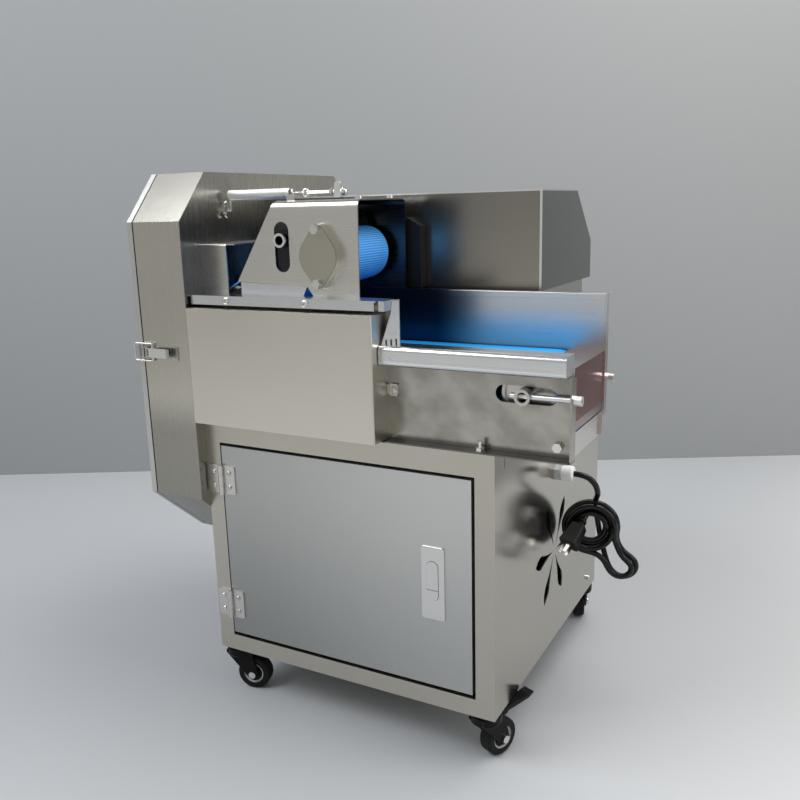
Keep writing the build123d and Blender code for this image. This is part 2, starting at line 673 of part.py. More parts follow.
# Feed drive behind the rear plate and under the transmission cover
def flange_bearing(x, z, y0, y1, bore, lug, r):
    flange = hull_of_circles([(x, z, r), (x, z + lug, 9), (x, z - lug, 9)])
    housing = plate_xz(flange, y0, y1)
    housing -= rod_y(x, z, y0 - 1, y1 + 1, bore)
    return housing


def bearing_at(x, z, y0, y1):
    return flange_bearing(x, z, y0, y1, SHAFT_R + RUN_GAP, 24, 17)


press_bearing_front = flange_bearing(PRESS_X, PRESS_Z, PRESS_Y0 - 8, PRESS_Y0, SHAFT_R + RUN_GAP,
                                     HOUSING_LUG, HOUSING_R)
press_cap = plate_xz(
    hull_of_circles([(PRESS_X, PRESS_Z, HOUSING_R - 2), (PRESS_X, PRESS_Z + HOUSING_LUG, 8),
                     (PRESS_X, PRESS_Z - HOUSING_LUG, 8)]), PRESS_Y0 - 14, PRESS_Y0 - 8)
press_cap -= rod_y(PRESS_X, PRESS_Z, PRESS_Y0 - 11, PRESS_Y0 - 7, SHAFT_R + 1)
press_bearing_rear = flange_bearing(PRESS_X, PRESS_Z, PRESS_Y1, PRESS_Y1 + 9, SHAFT_R + RUN_GAP,
                                    HOUSING_LUG, HOUSING_R)
housing_holes = Part()
for dz in (-HOUSING_LUG, HOUSING_LUG):
    housing_holes += rod_y(PRESS_X, PRESS_Z + dz, PRESS_Y0 - 20, PRESS_Y0 + 10, 4.1)
    housing_holes += rod_y(PRESS_X, PRESS_Z + dz, PRESS_Y1 - 10, PRESS_Y1 + 20, 4.1)
press_bearing_front -= housing_holes
press_bearing_rear -= housing_holes
press_cap -= housing_holes


def pillow_block(x0, x1):
    body = rod_x(x0, x1, KNIFE_Y, KNIFE_Z, 26)
    body += box(x0, x1, KNIFE_Y - 24, KNIFE_Y + 24, KNIFE_Z - 31, KNIFE_Z)
    body += box(x0, x1, KNIFE_Y - 34, KNIFE_Y + 50, KNIFE_Z - 31, KNIFE_Z - 19)
    return body - rod_x(x0 - 1, x1 + 1, KNIFE_Y, KNIFE_Z, KNIFE_SHAFT_R + RUN_GAP)


parts["bearing_housings"] = Compound([
    press_bearing_front, press_cap, press_bearing_rear,
    bearing_at(DRUM_X, AXIS_Z, FRONT_PLATE_Y - 9, FRONT_PLATE_Y),
    bearing_at(DRUM_X, AXIS_Z, rear_out, rear_out + 9),
    bearing_at(DRIVE_X, AXIS_Z, FRONT_PLATE_Y - 9, FRONT_PLATE_Y),
    bearing_at(DRIVE_X, AXIS_Z, rear_out, rear_out + 7),
    pillow_block(18, 46), pillow_block(100, 128)])

motor_y0 = BOX_Y0 + 14
gear_y1 = GEAR_Y0 + GEAR_W
pulley_y1 = PULLEY_Y0 + PULLEY_W
shaft = rod_y(DRIVE_X, AXIS_Z, front_pulley_y0 - 5, motor_y0 + 30, SHAFT_R)
shaft += timing_pulley(DRIVE_X, AXIS_Z, front_pulley_y0, front_pulley_y1, DRIVE_PULLEY_R)
gear = plate_xz(Pos(DRIVE_X, AXIS_Z) * gear_outline(GEAR_MODULE, GEAR_TEETH), GEAR_Y0, gear_y1)
parts["drive_shaft"] = shaft + gear

reverse_z = AXIS_Z + GEAR_MODULE * GEAR_TEETH
press_pulley_r = 22.0
reverse = plate_xz(Pos(DRIVE_X, reverse_z) * gear_outline(GEAR_MODULE, GEAR_TEETH, turn=180 / GEAR_TEETH),
                   GEAR_Y0, gear_y1)
reverse += rod_y(DRIVE_X, reverse_z, gear_y1, PULLEY_Y0, 16)
reverse += timing_pulley(DRIVE_X, reverse_z, PULLEY_Y0, pulley_y1, press_pulley_r)
reverse -= rod_y(DRIVE_X, reverse_z, GEAR_Y0 - 1, pulley_y1 + 5, 7 + RUN_GAP)
parts["reverse_gear"] = reverse

front_belt = belt_loop(DRUM_X, AXIS_Z, DRIVE_PULLEY_R + BELT_GAP, DRIVE_X, AXIS_Z, DRIVE_PULLEY_R + BELT_GAP,
                       DRIVE_BELT_T, front_pulley_y0 + 0.5, front_pulley_y1 - 0.5)
press_drive = belt_loop(DRIVE_X, reverse_z, press_pulley_r + BELT_GAP, PRESS_X, PRESS_Z,
                        press_pulley_r + BELT_GAP, DRIVE_BELT_T, PULLEY_Y0 + 0.5, pulley_y1 - 0.5)


def knife_drive_belt():
    outer = hull_of_circles([(KNIFE_Y, KNIFE_Z, KNIFE_PULLEY_R + 6), (KNIFE_Y, MOTOR_Z, MOTOR_PULLEY_R + 6)])
    inner = hull_of_circles([(KNIFE_Y, KNIFE_Z, KNIFE_PULLEY_R), (KNIFE_Y, MOTOR_Z, MOTOR_PULLEY_R)])
    return plate_yz(outer - inner, KNIFE_PULLEY_X - V_BELT_W / 2, KNIFE_PULLEY_X + V_BELT_W / 2)


parts["drive_belts"] = Compound([front_belt, press_drive, knife_drive_belt()])


def feed_gearmotor():
    z0 = AXIS_Z - 42
    body = box(DRIVE_X - 45, DRIVE_X + 45, motor_y0, motor_y0 + 62, z0, AXIS_Z + 42)
    body = fillet(body.edges().filter_by(Axis.Y), 10)
    body += rod_y(DRIVE_X, AXIS_Z, motor_y0 + 62, motor_y0 + 205, 41)
    body += box(DRIVE_X - 28, DRIVE_X + 28, motor_y0 + 5, motor_y0 + 55, CAB_Z1, z0 + 1)
    body += box(DRIVE_X - 50, DRIVE_X + 50, motor_y0, motor_y0 + 62, CAB_Z1, CAB_Z1 + 6)
    return body - rod_y(DRIVE_X, AXIS_Z, motor_y0 - 1, motor_y0 + 32, SHAFT_R + RUN_GAP)


parts["feed_gearmotor"] = feed_gearmotor()


cover_screw_x = COVER_X1 + 10
cover_screw_z = AXIS_Z - 8


def transmission_cover():
    y1 = FRONT_PLATE_Y
    cover = box(COVER_X0, COVER_X1, COVER_Y0, y1, COVER_Z0, COVER_Z1)
    cover = fillet(cover.edges().filter_by(Axis.Z).sort_by(Axis.Y)[:2], 3)
    cover -= box(COVER_X0 + SHEET, COVER_X1 - SHEET, COVER_Y0 + SHEET, y1 + 1,
                 COVER_Z0 + SHEET, COVER_Z1 - SHEET)
    cover += box(COVER_X1, COVER_X1 + 16, y1 - SHEET, y1, cover_screw_z - 7, cover_screw_z + 7)
    cover -= rod_y(cover_screw_x, cover_screw_z, y1 - 5, y1 + 5, 2.5)
    return cover


parts["transmission_cover"] = transmission_cover()


# Ledge strip, its end block and the guide plate that closes the trough's front corner
def side_ledge():
    ledge = box(0, LEDGE_X1, LEDGE_Y0, front_in + 4, WALL_TOP_Z - SHEET, WALL_TOP_Z)
    ledge += box(4, LEDGE_X1 - 3, LEDGE_Y0, LEDGE_Y0 + SHEET, LEDGE_LIP_Z, WALL_TOP_Z)
    for x in ledge_screw_x:
        ledge -= rod_y(x, ledge_screw_z, LEDGE_Y0 - 1, LEDGE_Y0 + 5, 2.5)
    block = box(LEDGE_X1 + 3, LEDGE_X1 + 12, LEDGE_Y0 + 2, FRONT_PLATE_Y, WALL_TOP_Z - 14, WALL_TOP_Z)
    cap = box(LEDGE_X1, WALL_X1, FRONT_PLATE_Y - 6, front_in, WALL_TOP_Z - SHEET, WALL_TOP_Z)
    run = math.hypot(WALL_X1 - LIP_X0, FRONT_PLATE_Y + 5) - 3
    height = WALL_TOP_Z - SHEET - LIP_Z1
    outline = polygon([(-run, 0), (0, 0), (0, height), (-run * 0.36, height), (-run * 0.46, height - 17)])
    wing = Plane((WALL_X1, FRONT_PLATE_Y, LIP_Z1), x_dir=(WALL_X1 - LIP_X0, FRONT_PLATE_Y + 5, 0), z_dir=(
        FRONT_PLATE_Y + 5, LIP_X0 - WALL_X1, 0))
    guide = extrude(wing * outline, -SHEET)
    for i in range(3):
        notch = Pos(-run * (0.2 + 0.27 * i), 3.5) * Rectangle(2.5, 7)
        guide -= extrude(wing * notch, SHEET * 2, both=True)
    strip_z0 = WALL_TOP_Z - SHEET
    strip = polygon([(74, strip_z0), (190, strip_z0), (190, WALL_TOP_Z), (197, 684), (74, 689)])
    ledge += plate_xz(strip, PRESS_Y0 + SHEET, PRESS_Y0 + SHEET + 1)
    room = box(LEDGE_X1, WALL_X1, FRONT_PLATE_Y, front_in, LIP_Z1 - 1, WALL_TOP_Z - SHEET)
    return ledge + block + cap + guide - room


parts["side_ledge"] = side_ledge()


# Press unit: folded frame, drum, swinging arm with nose roller and belt
def press_frame():
    side = polygon([(70, 690), (145, PRESS_TOP_Z), (PRESS_RIGHT_X, PRESS_TOP_Z),
                    (PRESS_RIGHT_X - 2, WALL_TOP_Z), (209, WALL_TOP_Z), (199, 684)])
    solid = plate_xz(side, PRESS_Y0, PRESS_Y1)
    top_edges = solid.edges().filter_by(Axis.X).group_by(Axis.Z)[-1]
    solid = fillet(top_edges, 11)
    inner = plate_xz(side, PRESS_Y0 + SHEET, PRESS_Y1 - SHEET)
    inner = fillet(inner.edges().filter_by(Axis.X).group_by(Axis.Z)[-1], 9)
    frame = solid - Pos(0, 0, -SHEET) * inner
    frame -= box(0, 400, PRESS_Y0 + SHEET, PRESS_Y1 - SHEET, WALL_TOP_Z - 20, PRESS_TOP_Z - 30)
    slot_mid = (GUIDE_SLOT_Z0 + GUIDE_SLOT_Z1) / 2
    slot = Pos(GUIDE_X, slot_mid) * SlotOverall(GUIDE_SLOT_Z1 - GUIDE_SLOT_Z0, GUIDE_SLOT_W, rotation=90)
    frame -= plate_xz(slot, 0, 200)
    frame -= rod_y(PRESS_X, PRESS_Z, 0, 200, SHAFT_R + 3)
    frame -= housing_holes
    frame += box(160, 173, PRESS_Y0 + 14, PRESS_Y0 + 17, PRESS_TOP_Z - 1, PRESS_TOP_Z + 9)
    frame -= box(LEVER_X - 12, LEVER_X + 30, MID_Y - 6, MID_Y + 6, PRESS_TOP_Z - 10, PRESS_TOP_Z + 10)
    return frame


parts["press_frame"] = press_frame()

press_y0 = MID_Y - PRESS_BELT_W / 2
press_y1 = MID_Y + PRESS_BELT_W / 2
ARM_T = 4.0
arm_front_y0 = press_y0 - 1.5 - ARM_T
arm_rear_y0 = press_y1 + 1.5
press_drum = hollow_roller(PRESS_X, PRESS_Z, press_y0 + 1, press_y1 - 1, ROLLER_R, SHAFT_R)
press_drum += rod_y(PRESS_X, PRESS_Z, PRESS_Y0 - 9, pulley_y1 + 3, SHAFT_R)
press_drum += timing_pulley(PRESS_X, PRESS_Z, PULLEY_Y0, pulley_y1, press_pulley_r)
parts["press_drum"] = press_drum

nose_axle_r = 6.0
tie_z = PRESS_TOP_Z - 22


def press_arm():
    outline = hull_of_circles([(PRESS_X, PRESS_Z, 17), (NOSE_X, NOSE_Z, 12)])
    outline += hull_of_circles([(PRESS_X, PRESS_Z, 17), (LEVER_X, tie_z, 8)])
    outline += hull_of_circles([(GUIDE_X, GUIDE_Z, 15), (GUIDE_X - 8, GUIDE_Z - 50, 12)])
    arm = Part()
    for y0 in (arm_front_y0, arm_rear_y0):
        arm += plate_xz(outline, y0, y0 + ARM_T)
    arm -= rod_y(PRESS_X, PRESS_Z, 0, 200, SHAFT_R + RUN_GAP)
    arm += rod_y(NOSE_X, NOSE_Z, arm_front_y0, arm_rear_y0 + ARM_T, nose_axle_r)
    arm += rod_y(LEVER_X, tie_z, arm_front_y0, arm_rear_y0 + ARM_T, 6)
    arm += rod_y(GUIDE_X, GUIDE_Z, PRESS_Y0 - 7, PRESS_Y1 + 5, GUIDE_TUBE_R)
    arm -= rod_y(GUIDE_X, GUIDE_Z, 0, 200, GUIDE_TUBE_R - 3.5)
    lever = hull_of_circles([(LEVER_X, tie_z, 8), (LEVER_X, LEVER_TOP_Z - 5, 5)])
    arm += plate_xz(lever, MID_Y - 3, MID_Y + 3)
    return arm - rod_x(LEVER_X - 20, LEVER_X + 20, MID_Y, ROD_Z, 3)


parts["press_arm"] = press_arm()
nose_bore_r = nose_axle_r + RUN_GAP
parts["nose_roller"] = hollow_roller(NOSE_X, NOSE_Z, press_y0 + 1, press_y1 - 1, NOSE_R, nose_bore_r)
parts["press_belt"] = belt_loop(PRESS_X, PRESS_Z, belt_in, NOSE_X, NOSE_Z, NOSE_R + BELT_GAP, BELT_T,
                                press_y0, press_y1)


def eye_bolt():
    eye_x = SPRING_X1 + 26
    rod = rod_x(eye_x + 4, LEVER_X + 17, MID_Y, ROD_Z, 3)
    ring = Pos(eye_x, MID_Y, ROD_Z) * Rot(90, 0, 0) * Torus(5, 1.6)
    nuts = Part()
    for x in (LEVER_X - 13, LEVER_X + 8.5):
        nuts += Pos(x, MID_Y, ROD_Z) * Rot(0, 90, 0) * extrude(RegularPolygon(6, 6), 4.5)
    return rod + ring + nuts


parts["eye_bolt"] = eye_bolt()

anchor_z = 803.0


def press_spring():
    z = ROD_Z
    coil = rod_x(SPRING_X0, SPRING_X1, MID_Y, z, SPRING_R) - rod_x(
        SPRING_X0 + 3, SPRING_X1 - 3, MID_Y, z, SPRING_R - 2)
    hook_right = Pos(SPRING_X1 + 16, MID_Y, z) * Torus(8.5, 1.4)
    link = rod_x(SPRING_X1 - 1, SPRING_X1 + 8, MID_Y, z, 1.6)
    lower = Edge.make_line((SPRING_X0 + 1, MID_Y, z - 2), (11.0, MID_Y, anchor_z + 1))
    hook_left = sweep(Plane(lower @ 0, z_dir=lower % 0) * Circle(1.6), path=lower)
    return coil + link + hook_right + hook_left


parts["press_spring"] = press_spring()


def press_guard():
    y0 = PRESS_Y1 + 10
    y1 = BOX_Y0 - 0.5
    x0, x1, z1 = PRESS_X - 38, PRESS_X + 81, PRESS_Z + 50
    corners = [(x0, WALL_TOP_Z), (x1, WALL_TOP_Z), (x1, z1 - 13), (x1 - 21, z1), (x0, z1)]
    outline = polygon(corners)
    guard = plate_xz(outline, y0, y1)
    wall = 1.5
    inner = polygon([(x0 + wall, WALL_TOP_Z - 1), (x1 - wall, WALL_TOP_Z - 1), (x1 - wall, z1 - 14),
                     (x1 - 21.5, z1 - wall), (x0 + wall, z1 - wall)])
    guard -= plate_xz(inner, y0 + wall, y1 + 1)
    guard -= rod_y(PRESS_X, PRESS_Z, y0 - 1, y0 + 3, SHAFT_R + 3)
    return guard


parts["press_guard"] = press_guard()


# Throat box between the press unit and the hood
def throat_housing():
    y0 = PRESS_Y0
    y1 = PRESS_Y1
    throat = box(0, THROAT_X1, y0, y1, WALL_TOP_Z, THROAT_Z1)
    throat = fillet(throat.edges().filter_by(Axis.X).group_by(Axis.Z)[-1], 4)
    throat -= box(-1, THROAT_X1 + 1, y0 + SHEET, y1 - SHEET, WALL_TOP_Z - 1, THROAT_Z1 - SHEET)
    throat += box(THROAT_X1, 66, y0 + SHEET, y1 - SHEET, THROAT_Z1 - SHEET, THROAT_Z1)
    return throat


parts["throat_housing"] = throat_housing()


# Knife hood: shell, gasket and hinged cover
def hood_outline(inset=0.0):
    y0 = HOOD_Y0 + inset
    y1 = HOOD_Y1 - inset
    z0 = HOOD_Z0 + inset
    z1 = HOOD_Z1 - inset
    a = inset * 0.45
    return polygon([
        (y0, HOOD_Z0 + LOW_CHAMFER_Z + a), (y0, HOOD_Z1 - TOP_CHAMFER_Z - a),
        (HOOD_Y0 + TOP_CHAMFER_Y + a, z1), (HOOD_Y1 - TOP_CHAMFER_Y - a, z1),
        (y1, HOOD_Z1 - TOP_CHAMFER_Z - a), (y1, HOOD_Z0 + LOW_CHAMFER_Z + a),
        (HOOD_Y1 - LOW_CHAMFER_Y - a, z0), (HOOD_Y0 + LOW_CHAMFER_Y + a, z0)])


hood_hinge_x = gasket_x - COVER_T / 2
hood_hinge_y = HOOD_Y1 + 6
hood_hinge_zs = (420.0, 700.0)
toggle_x0 = -88.0
toggle_pin_y = HOOD_Y0 - 4.5


def hood_shell():
    shell = plate_yz(hood_outline(), hood_x, 0) - plate_yz(hood_outline(SHEET), hood_x - 1, -SHEET)
    rim = plate_yz(hood_outline(SHEET / 2), hood_x, hood_x + SHEET)
    shell += rim - plate_yz(hood_outline(12), hood_x - 1, hood_x + SHEET + 1)
    shell -= box(-SHEET - 1, 1, front_in, REAR_PLATE_Y, AXIS_Z + 28, MOUTH_Z1)
    shell -= rod_x(-SHEET - 1, 1, KNIFE_Y, KNIFE_Z, 16)
    shell -= box(hood_x + 14, -14, HOOD_Y0 + LOW_CHAMFER_Y + 12, HOOD_Y1 - LOW_CHAMFER_Y - 12,
                 HOOD_Z0 - 1, HOOD_Z0 + SHEET + 1)
    for z in hood_hinge_zs:
        shell += box(hood_x + 1, hood_x + 26, HOOD_Y1, HOOD_Y1 + SHEET, z - 20, z + 20)
        for z0 in (z - 20, z + 7):
            shell += rod_z(hood_hinge_x, hood_hinge_y, z0, z0 + 13, 5)
            shell += box(hood_hinge_x, hood_x + 4, HOOD_Y1 + SHEET / 2, HOOD_Y1 + SHEET * 2, z0, z0 + 13)
        shell += rod_z(hood_hinge_x, hood_hinge_y, z - 20, z + 20, 2.5)
    base = box(toggle_x0 - 6, -24, HOOD_Y0 - SHEET, HOOD_Y0, TOGGLE_Z - 11, TOGGLE_Z + 11)
    for dz in (-10, 8):
        base += box(toggle_x0 - 6, toggle_x0 + 6, HOOD_Y0 - 8, HOOD_Y0, TOGGLE_Z + dz, TOGGLE_Z + dz + 2)
    base += rod_z(toggle_x0, toggle_pin_y, TOGGLE_Z - 10, TOGGLE_Z + 10, 1.5)
    return shell + base


parts["hood_shell"] = hood_shell()
parts["hood_gasket"] = plate_yz(hood_outline(0.5) - hood_outline(11), gasket_x, hood_x)


def hood_cover():
    cover = plate_yz(hood_outline(), cover_x, gasket_x)
    cover = chamfer(cover.faces().sort_by(Axis.X)[0].edges(), 1.2)
    cover -= plate_yz(hood_outline(SHEET), cover_x + SHEET, gasket_x + 1)
    cover += plate_yz(hood_outline(1) - hood_outline(12), gasket_x - SHEET, gasket_x)
    cover -= box(cover_x - 1, gasket_x + 1, HOOD_Y0 + LOW_CHAMFER_Y + 12, HOOD_Y1 - LOW_CHAMFER_Y - 12,
                 HOOD_Z0 - 1, HOOD_Z0 + 0.01)
    for z in hood_hinge_zs:
        cover += rod_z(hood_hinge_x, hood_hinge_y, z - 6.7, z + 6.7, 5)
        cover += box(cover_x + 2, hood_hinge_x, HOOD_Y1 - SHEET, HOOD_Y1 + SHEET * 2, z - 6.7, z + 6.7)
        cover -= rod_z(hood_hinge_x, hood_hinge_y, z - 10, z + 10, 2.5 + RUN_GAP)
    catch = box(cover_x + 1, cover_x + 5, HOOD_Y0 - 3, HOOD_Y0 + 1, TOGGLE_Z - 9, TOGGLE_Z + 9)
    return cover + catch


parts["hood_cover"] = hood_cover()

bail_pin_x = toggle_x0 + 14
bail_y = toggle_pin_y - 0.5
bail_x0 = cover_x - 1.8


def toggle_lever():
    pivot = (toggle_x0, toggle_pin_y, 2.2)
    cheek = hull_of_circles([pivot, (bail_pin_x, bail_y, 2.8), (toggle_x0 + 22, toggle_pin_y - 3, 1.5)])
    lever = Part()
    for z in (TOGGLE_Z - 7.6, TOGGLE_Z + 5.6):
        lever += Pos(0, 0, z) * extrude(cheek, 2)
    outer_y = HOOD_Y0 - TOGGLE_REACH
    tip_x = toggle_x0 + 54
    strip = polygon([(toggle_x0 + 9, outer_y + 4), (toggle_x0 + 9, outer_y + 2.5), (tip_x - 8, outer_y + 2.5),
                     (tip_x, outer_y), (tip_x, outer_y + 1.5), (tip_x - 8, outer_y + 4)])
    lever += Pos(0, 0, TOGGLE_Z - 7.6) * extrude(strip, 15.2)
    lever -= rod_z(toggle_x0, toggle_pin_y, TOGGLE_Z - 12, TOGGLE_Z + 12, 1.5 + RUN_GAP)
    return lever - rod_z(bail_pin_x, bail_y, TOGGLE_Z - 12, TOGGLE_Z + 12, 1.5 + RUN_GAP)


def toggle_bail():
    half = 14.0
    corners = [(bail_pin_x, bail_y, TOGGLE_Z + half), (bail_x0, bail_y, TOGGLE_Z + half),
               (bail_x0, bail_y, TOGGLE_Z - half), (bail_pin_x, bail_y, TOGGLE_Z - half)]
    path = FilletPolyline(*corners, radius=4, close=True)
    return sweep(Plane(path @ 0, z_dir=path % 0) * Circle(1.5), path=path)


parts["toggle_lever"] = toggle_lever()
parts["toggle_bail"] = toggle_bail()


# Knife rotor: shaft with hub and pulley, two curved blades
def v_pulley(x, y, z, r):
    half = V_BELT_W / 2
    pulley = rod_x(x - half - 4, x + half + 4, y, z, r + 7)
    return pulley - (rod_x(x - half - 0.5, x + half + 0.5, y, z, r + 8) - rod_x(
        x - half - 0.5, x + half + 0.5, y, z, r - BELT_GAP))


hub_x0 = -44.0
blade_x1 = -SHEET - 1.5
blade_x0 = blade_x1 - KNIFE_T
knife_shaft = rod_x(hub_x0 - 14, 150, KNIFE_Y, KNIFE_Z, KNIFE_SHAFT_R)
knife_shaft += rod_x(hub_x0, blade_x0, KNIFE_Y, KNIFE_Z, 46)
knife_shaft += rod_x(hub_x0 - 10, hub_x0, KNIFE_Y, KNIFE_Z, 22)
knife_shaft += v_pulley(KNIFE_PULLEY_X, KNIFE_Y, KNIFE_Z, KNIFE_PULLEY_R)
parts["knife_shaft"] = knife_shaft


def knife_blade(turn):
    back = ThreePointArc((34, -20), (KNIFE_R * 0.62, 30), (KNIFE_R * 0.70, KNIFE_R * 0.70))
    edge = ThreePointArc((KNIFE_R * 0.70, KNIFE_R * 0.70), (KNIFE_R * 0.93, 10), (KNIFE_R * 0.42, -60))
    root = Polyline((KNIFE_R * 0.42, -60), (10, -46), (34, -20))
    outline = make_face(back + edge + root)
    outline += Circle(46)
    outline -= Circle(KNIFE_SHAFT_R)
    return Rot(0, 0, turn) * outline


blade_a = plate_yz(Pos(KNIFE_Y, KNIFE_Z) * (knife_blade(20) + knife_blade(200)), blade_x0, blade_x1)
parts["knife_blades"] = blade_a

motor_x0 = KNIFE_PULLEY_X + 26
parts["motor_pulley"] = v_pulley(KNIFE_PULLEY_X, KNIFE_Y, MOTOR_Z, MOTOR_PULLEY_R) + rod_x(
    KNIFE_PULLEY_X - 12, motor_x0 + 24, KNIFE_Y, MOTOR_Z, 9)


def main_motor():
    motor = rod_x(motor_x0, motor_x0 + 210, KNIFE_Y, MOTOR_Z, MOTOR_R)
    motor = chamfer(motor.edges().filter_by(GeomType.CIRCLE), 5)
    foot_z = CAB_Z0 + SHEET
    motor += box(motor_x0 + 30, motor_x0 + 180, KNIFE_Y - 60, KNIFE_Y + 60, foot_z, foot_z + 8)
    for x in (motor_x0 + 40, motor_x0 + 150):
        motor += box(x, x + 20, KNIFE_Y - 50, KNIFE_Y + 50, foot_z, MOTOR_Z - 20)
    case_z1 = MOTOR_Z + MOTOR_R + 24
    motor += box(motor_x0 + 70, motor_x0 + 140, KNIFE_Y - 30, KNIFE_Y + 30, MOTOR_Z + 50, case_z1)
    return motor - rod_x(motor_x0 - 1, motor_x0 + 26, KNIFE_Y, MOTOR_Z, 9 + RUN_GAP)


parts["main_motor"] = main_motor()


# Rear housing with the bearing stand inside, and the control box on top
def rim_strips(x0, x1, y0, y1, z):
    x0, x1, y0, y1 = x0 + SHEET, x1 - SHEET, y0 + SHEET, y1 - SHEET
    return [
        box(x0, x0 + RIM_W, y0, y1, z, z + SHEET),
        box(x1 - RIM_W, x1, y0, y1, z, z + SHEET),
        box(x0 + RIM_W, x1 - RIM_W, y0, y0 + RIM_W, z, z + SHEET),
        box(x0 + RIM_W, x1 - RIM_W, y1 - RIM_W, y1, z, z + SHEET),
    ]


def rear_housing():
    x1 = BOX_X1 - HOUSING_INSET * 2
    y0 = BOX_Y0 + 2
    y1 = BOX_Y1 - HOUSING_INSET
    left = box(0, SHEET, y0, y1, CAB_Z1, BOX_Z0) - rod_x(-1, SHEET + 1, KNIFE_Y, KNIFE_Z, 16)
    right = box(x1 - SHEET, x1, y0, y1, CAB_Z1, BOX_Z0)
    front = box(SHEET, x1 - SHEET, y0, y0 + SHEET, CAB_Z1, BOX_Z0)
    front -= rod_y(DRIVE_X, AXIS_Z, y0 - 1, y0 + SHEET + 1, SHAFT_R + 3)
    back = box(SHEET, x1 - SHEET, y1 - SHEET, y1, CAB_Z1, BOX_Z0)
    stand_y0 = y0 + SHEET
    stand_y1 = KNIFE_Y + 54
    stand_z = KNIFE_Z - 31
    stand = box(SHEET, 134, stand_y0, stand_y1, stand_z - 6, stand_z) - belt_cut(0, stand_z + 1)
    legs = [box(x, x + 6, stand_y0, stand_y1, CAB_Z1, stand_z - 6) for x in (SHEET, 128)]
    rim = rim_strips(0, x1, y0, y1, BOX_Z0 - SHEET)
    return welded([left, right, front, back, *rim, stand, *legs])


parts["rear_housing"] = rear_housing()


def box_corners(inset=0.0):
    y0 = BOX_Y0 + inset
    y1 = BOX_Y1 - inset
    z1 = BOX_Z1 - inset
    return [(y0, BOX_Z0), (y0, z1), (SLOPE_Y - inset * 0.4, z1), (y1, SLOPE_Z - inset * 0.4), (y1, BOX_Z0)]


slope_angle = math.degrees(math.atan2(BOX_Z1 - SLOPE_Z, BOX_Y1 - SLOPE_Y))
slope_mid_y = (BOX_Y1 + SLOPE_Y) / 2
slope_mid_z = (BOX_Z1 + SLOPE_Z) / 2


def on_slope(x):
    return Pos(x, slope_mid_y, slope_mid_z) * Rot(-slope_angle, 0, 0)


knob_x = 300.0
start_x = 225.0
stop_x = 170.0


def control_box():
    panels = [plate_yz(polygon(box_corners()), x, x + SHEET) for x in (0, BOX_X1 - SHEET)]
    outer, inner = box_corners(), box_corners(SHEET)
    for i in range(len(outer) - 1):
        strip = polygon([outer[i], outer[i + 1], inner[i + 1], inner[i]])
        panels += [plate_yz(strip, SHEET, BOX_X1 - SHEET)]
    for x, r in ((knob_x, 3.1), (start_x, 8.0), (stop_x, 8.0)):
        panels[4] -= on_slope(x) * Cylinder(r, 20)
    panels += rim_strips(0, BOX_X1, BOX_Y0, BOX_Y1, BOX_Z0)
    return welded(panels)


parts["control_box"] = control_box()
knob = Pos(0, 0, 0.4 + 8) * Cylinder(14, 16)
knob = fillet(knob.edges().group_by(Axis.Z)[-1], 2)
knob += Pos(0, 0, -4) * Cylinder(3, 12)
knob -= Pos(0, 11, 15.5) * Box(1.6, 8, 3)
parts["feed_speed_knob"] = on_slope(knob_x) * knob


def push_button(r_head, h_head):
    cap = Pos(0, 0, 5 + h_head / 2) * Cylinder(r_head, h_head)
    cap = fillet(cap.edges().group_by(Axis.Z)[-1], 1.5)
    return cap + Pos(0, 0, -1) * Cylinder(8.0 - RUN_GAP, 14)


parts["start_button"] = on_slope(start_x) * push_button(11, 6)
parts["stop_button"] = on_slope(stop_x) * push_button(15, 8)


# Small fixed fasteners
def frame_screws():
    solids = [leaf_screw(frame_screw_x, z + dz) for z in hinge_heights for dz in (-HINGE_H / 4, HINGE_H / 4)]
    solids += [button_screw_y(x, ledge_screw_z, LEDGE_Y0, 10, 5.4) for x in ledge_screw_x]
    washer_y = FRONT_PLATE_Y - SHEET * 2
    washer = box(cover_screw_x - 6, cover_screw_x + 5.5, washer_y, washer_y + SHEET,
                 cover_screw_z - 9, cover_screw_z + 9)
    solids += [washer + button_screw_y(cover_screw_x, cover_screw_z, washer_y, SHEET * 2, 5)]
    for dz in (-HOUSING_LUG, HOUSING_LUG):
        solids += [hex_bolt_y(PRESS_X, PRESS_Z + dz, PRESS_Y0 - 14, 14 + SHEET, 7)]
    solids += [hex_bolt_y(CONV_END_X - 20, CAB_Z1 + 17, FRONT_PLATE_Y, 0, 7)]
    clamp_z = CAB_Z1 + SHEET
    clamp_bolt = Pos(CLAMP_BOLT_X, CLAMP_BOLT_Y, clamp_z) * extrude(RegularPolygon(6.5, 6), 5)
    solids += [clamp_bolt + rod_z(CLAMP_BOLT_X, CLAMP_BOLT_Y, clamp_z, clamp_z + 14, 3)]
    solids += [rod_x(CAB_W, CAB_W + 4, CAB_D - 52, CAB_Z0 + 27, 4.5)]
    for y in (PRESS_Y0 + 26, PRESS_Y1 - 26):
        solids += [rod_z(PRESS_RIGHT_X - 13, y, PRESS_TOP_Z, PRESS_TOP_Z + 4, 5)]
    pin = rod_y(DRIVE_X, reverse_z, rear_out, pulley_y1 + 4, 7)
    pin += rod_y(DRIVE_X, reverse_z, rear_out, rear_out + 4, 16)
    solids += [pin]
    anchor = rod_x(0, 14, MID_Y, anchor_z - 4, 3)
    anchor += rod_x(0, 4, MID_Y, anchor_z - 4, 7)
    for turn in (35, 145, 325):
        anchor += Pos(6.5, MID_Y, anchor_z - 4) * Rot(turn, 0, 0) * Pos(0, 0, 8) * Box(3, 6, 12)
    solids += [anchor]
    return Compound(solids)


parts["frame_screws"] = frame_screws()


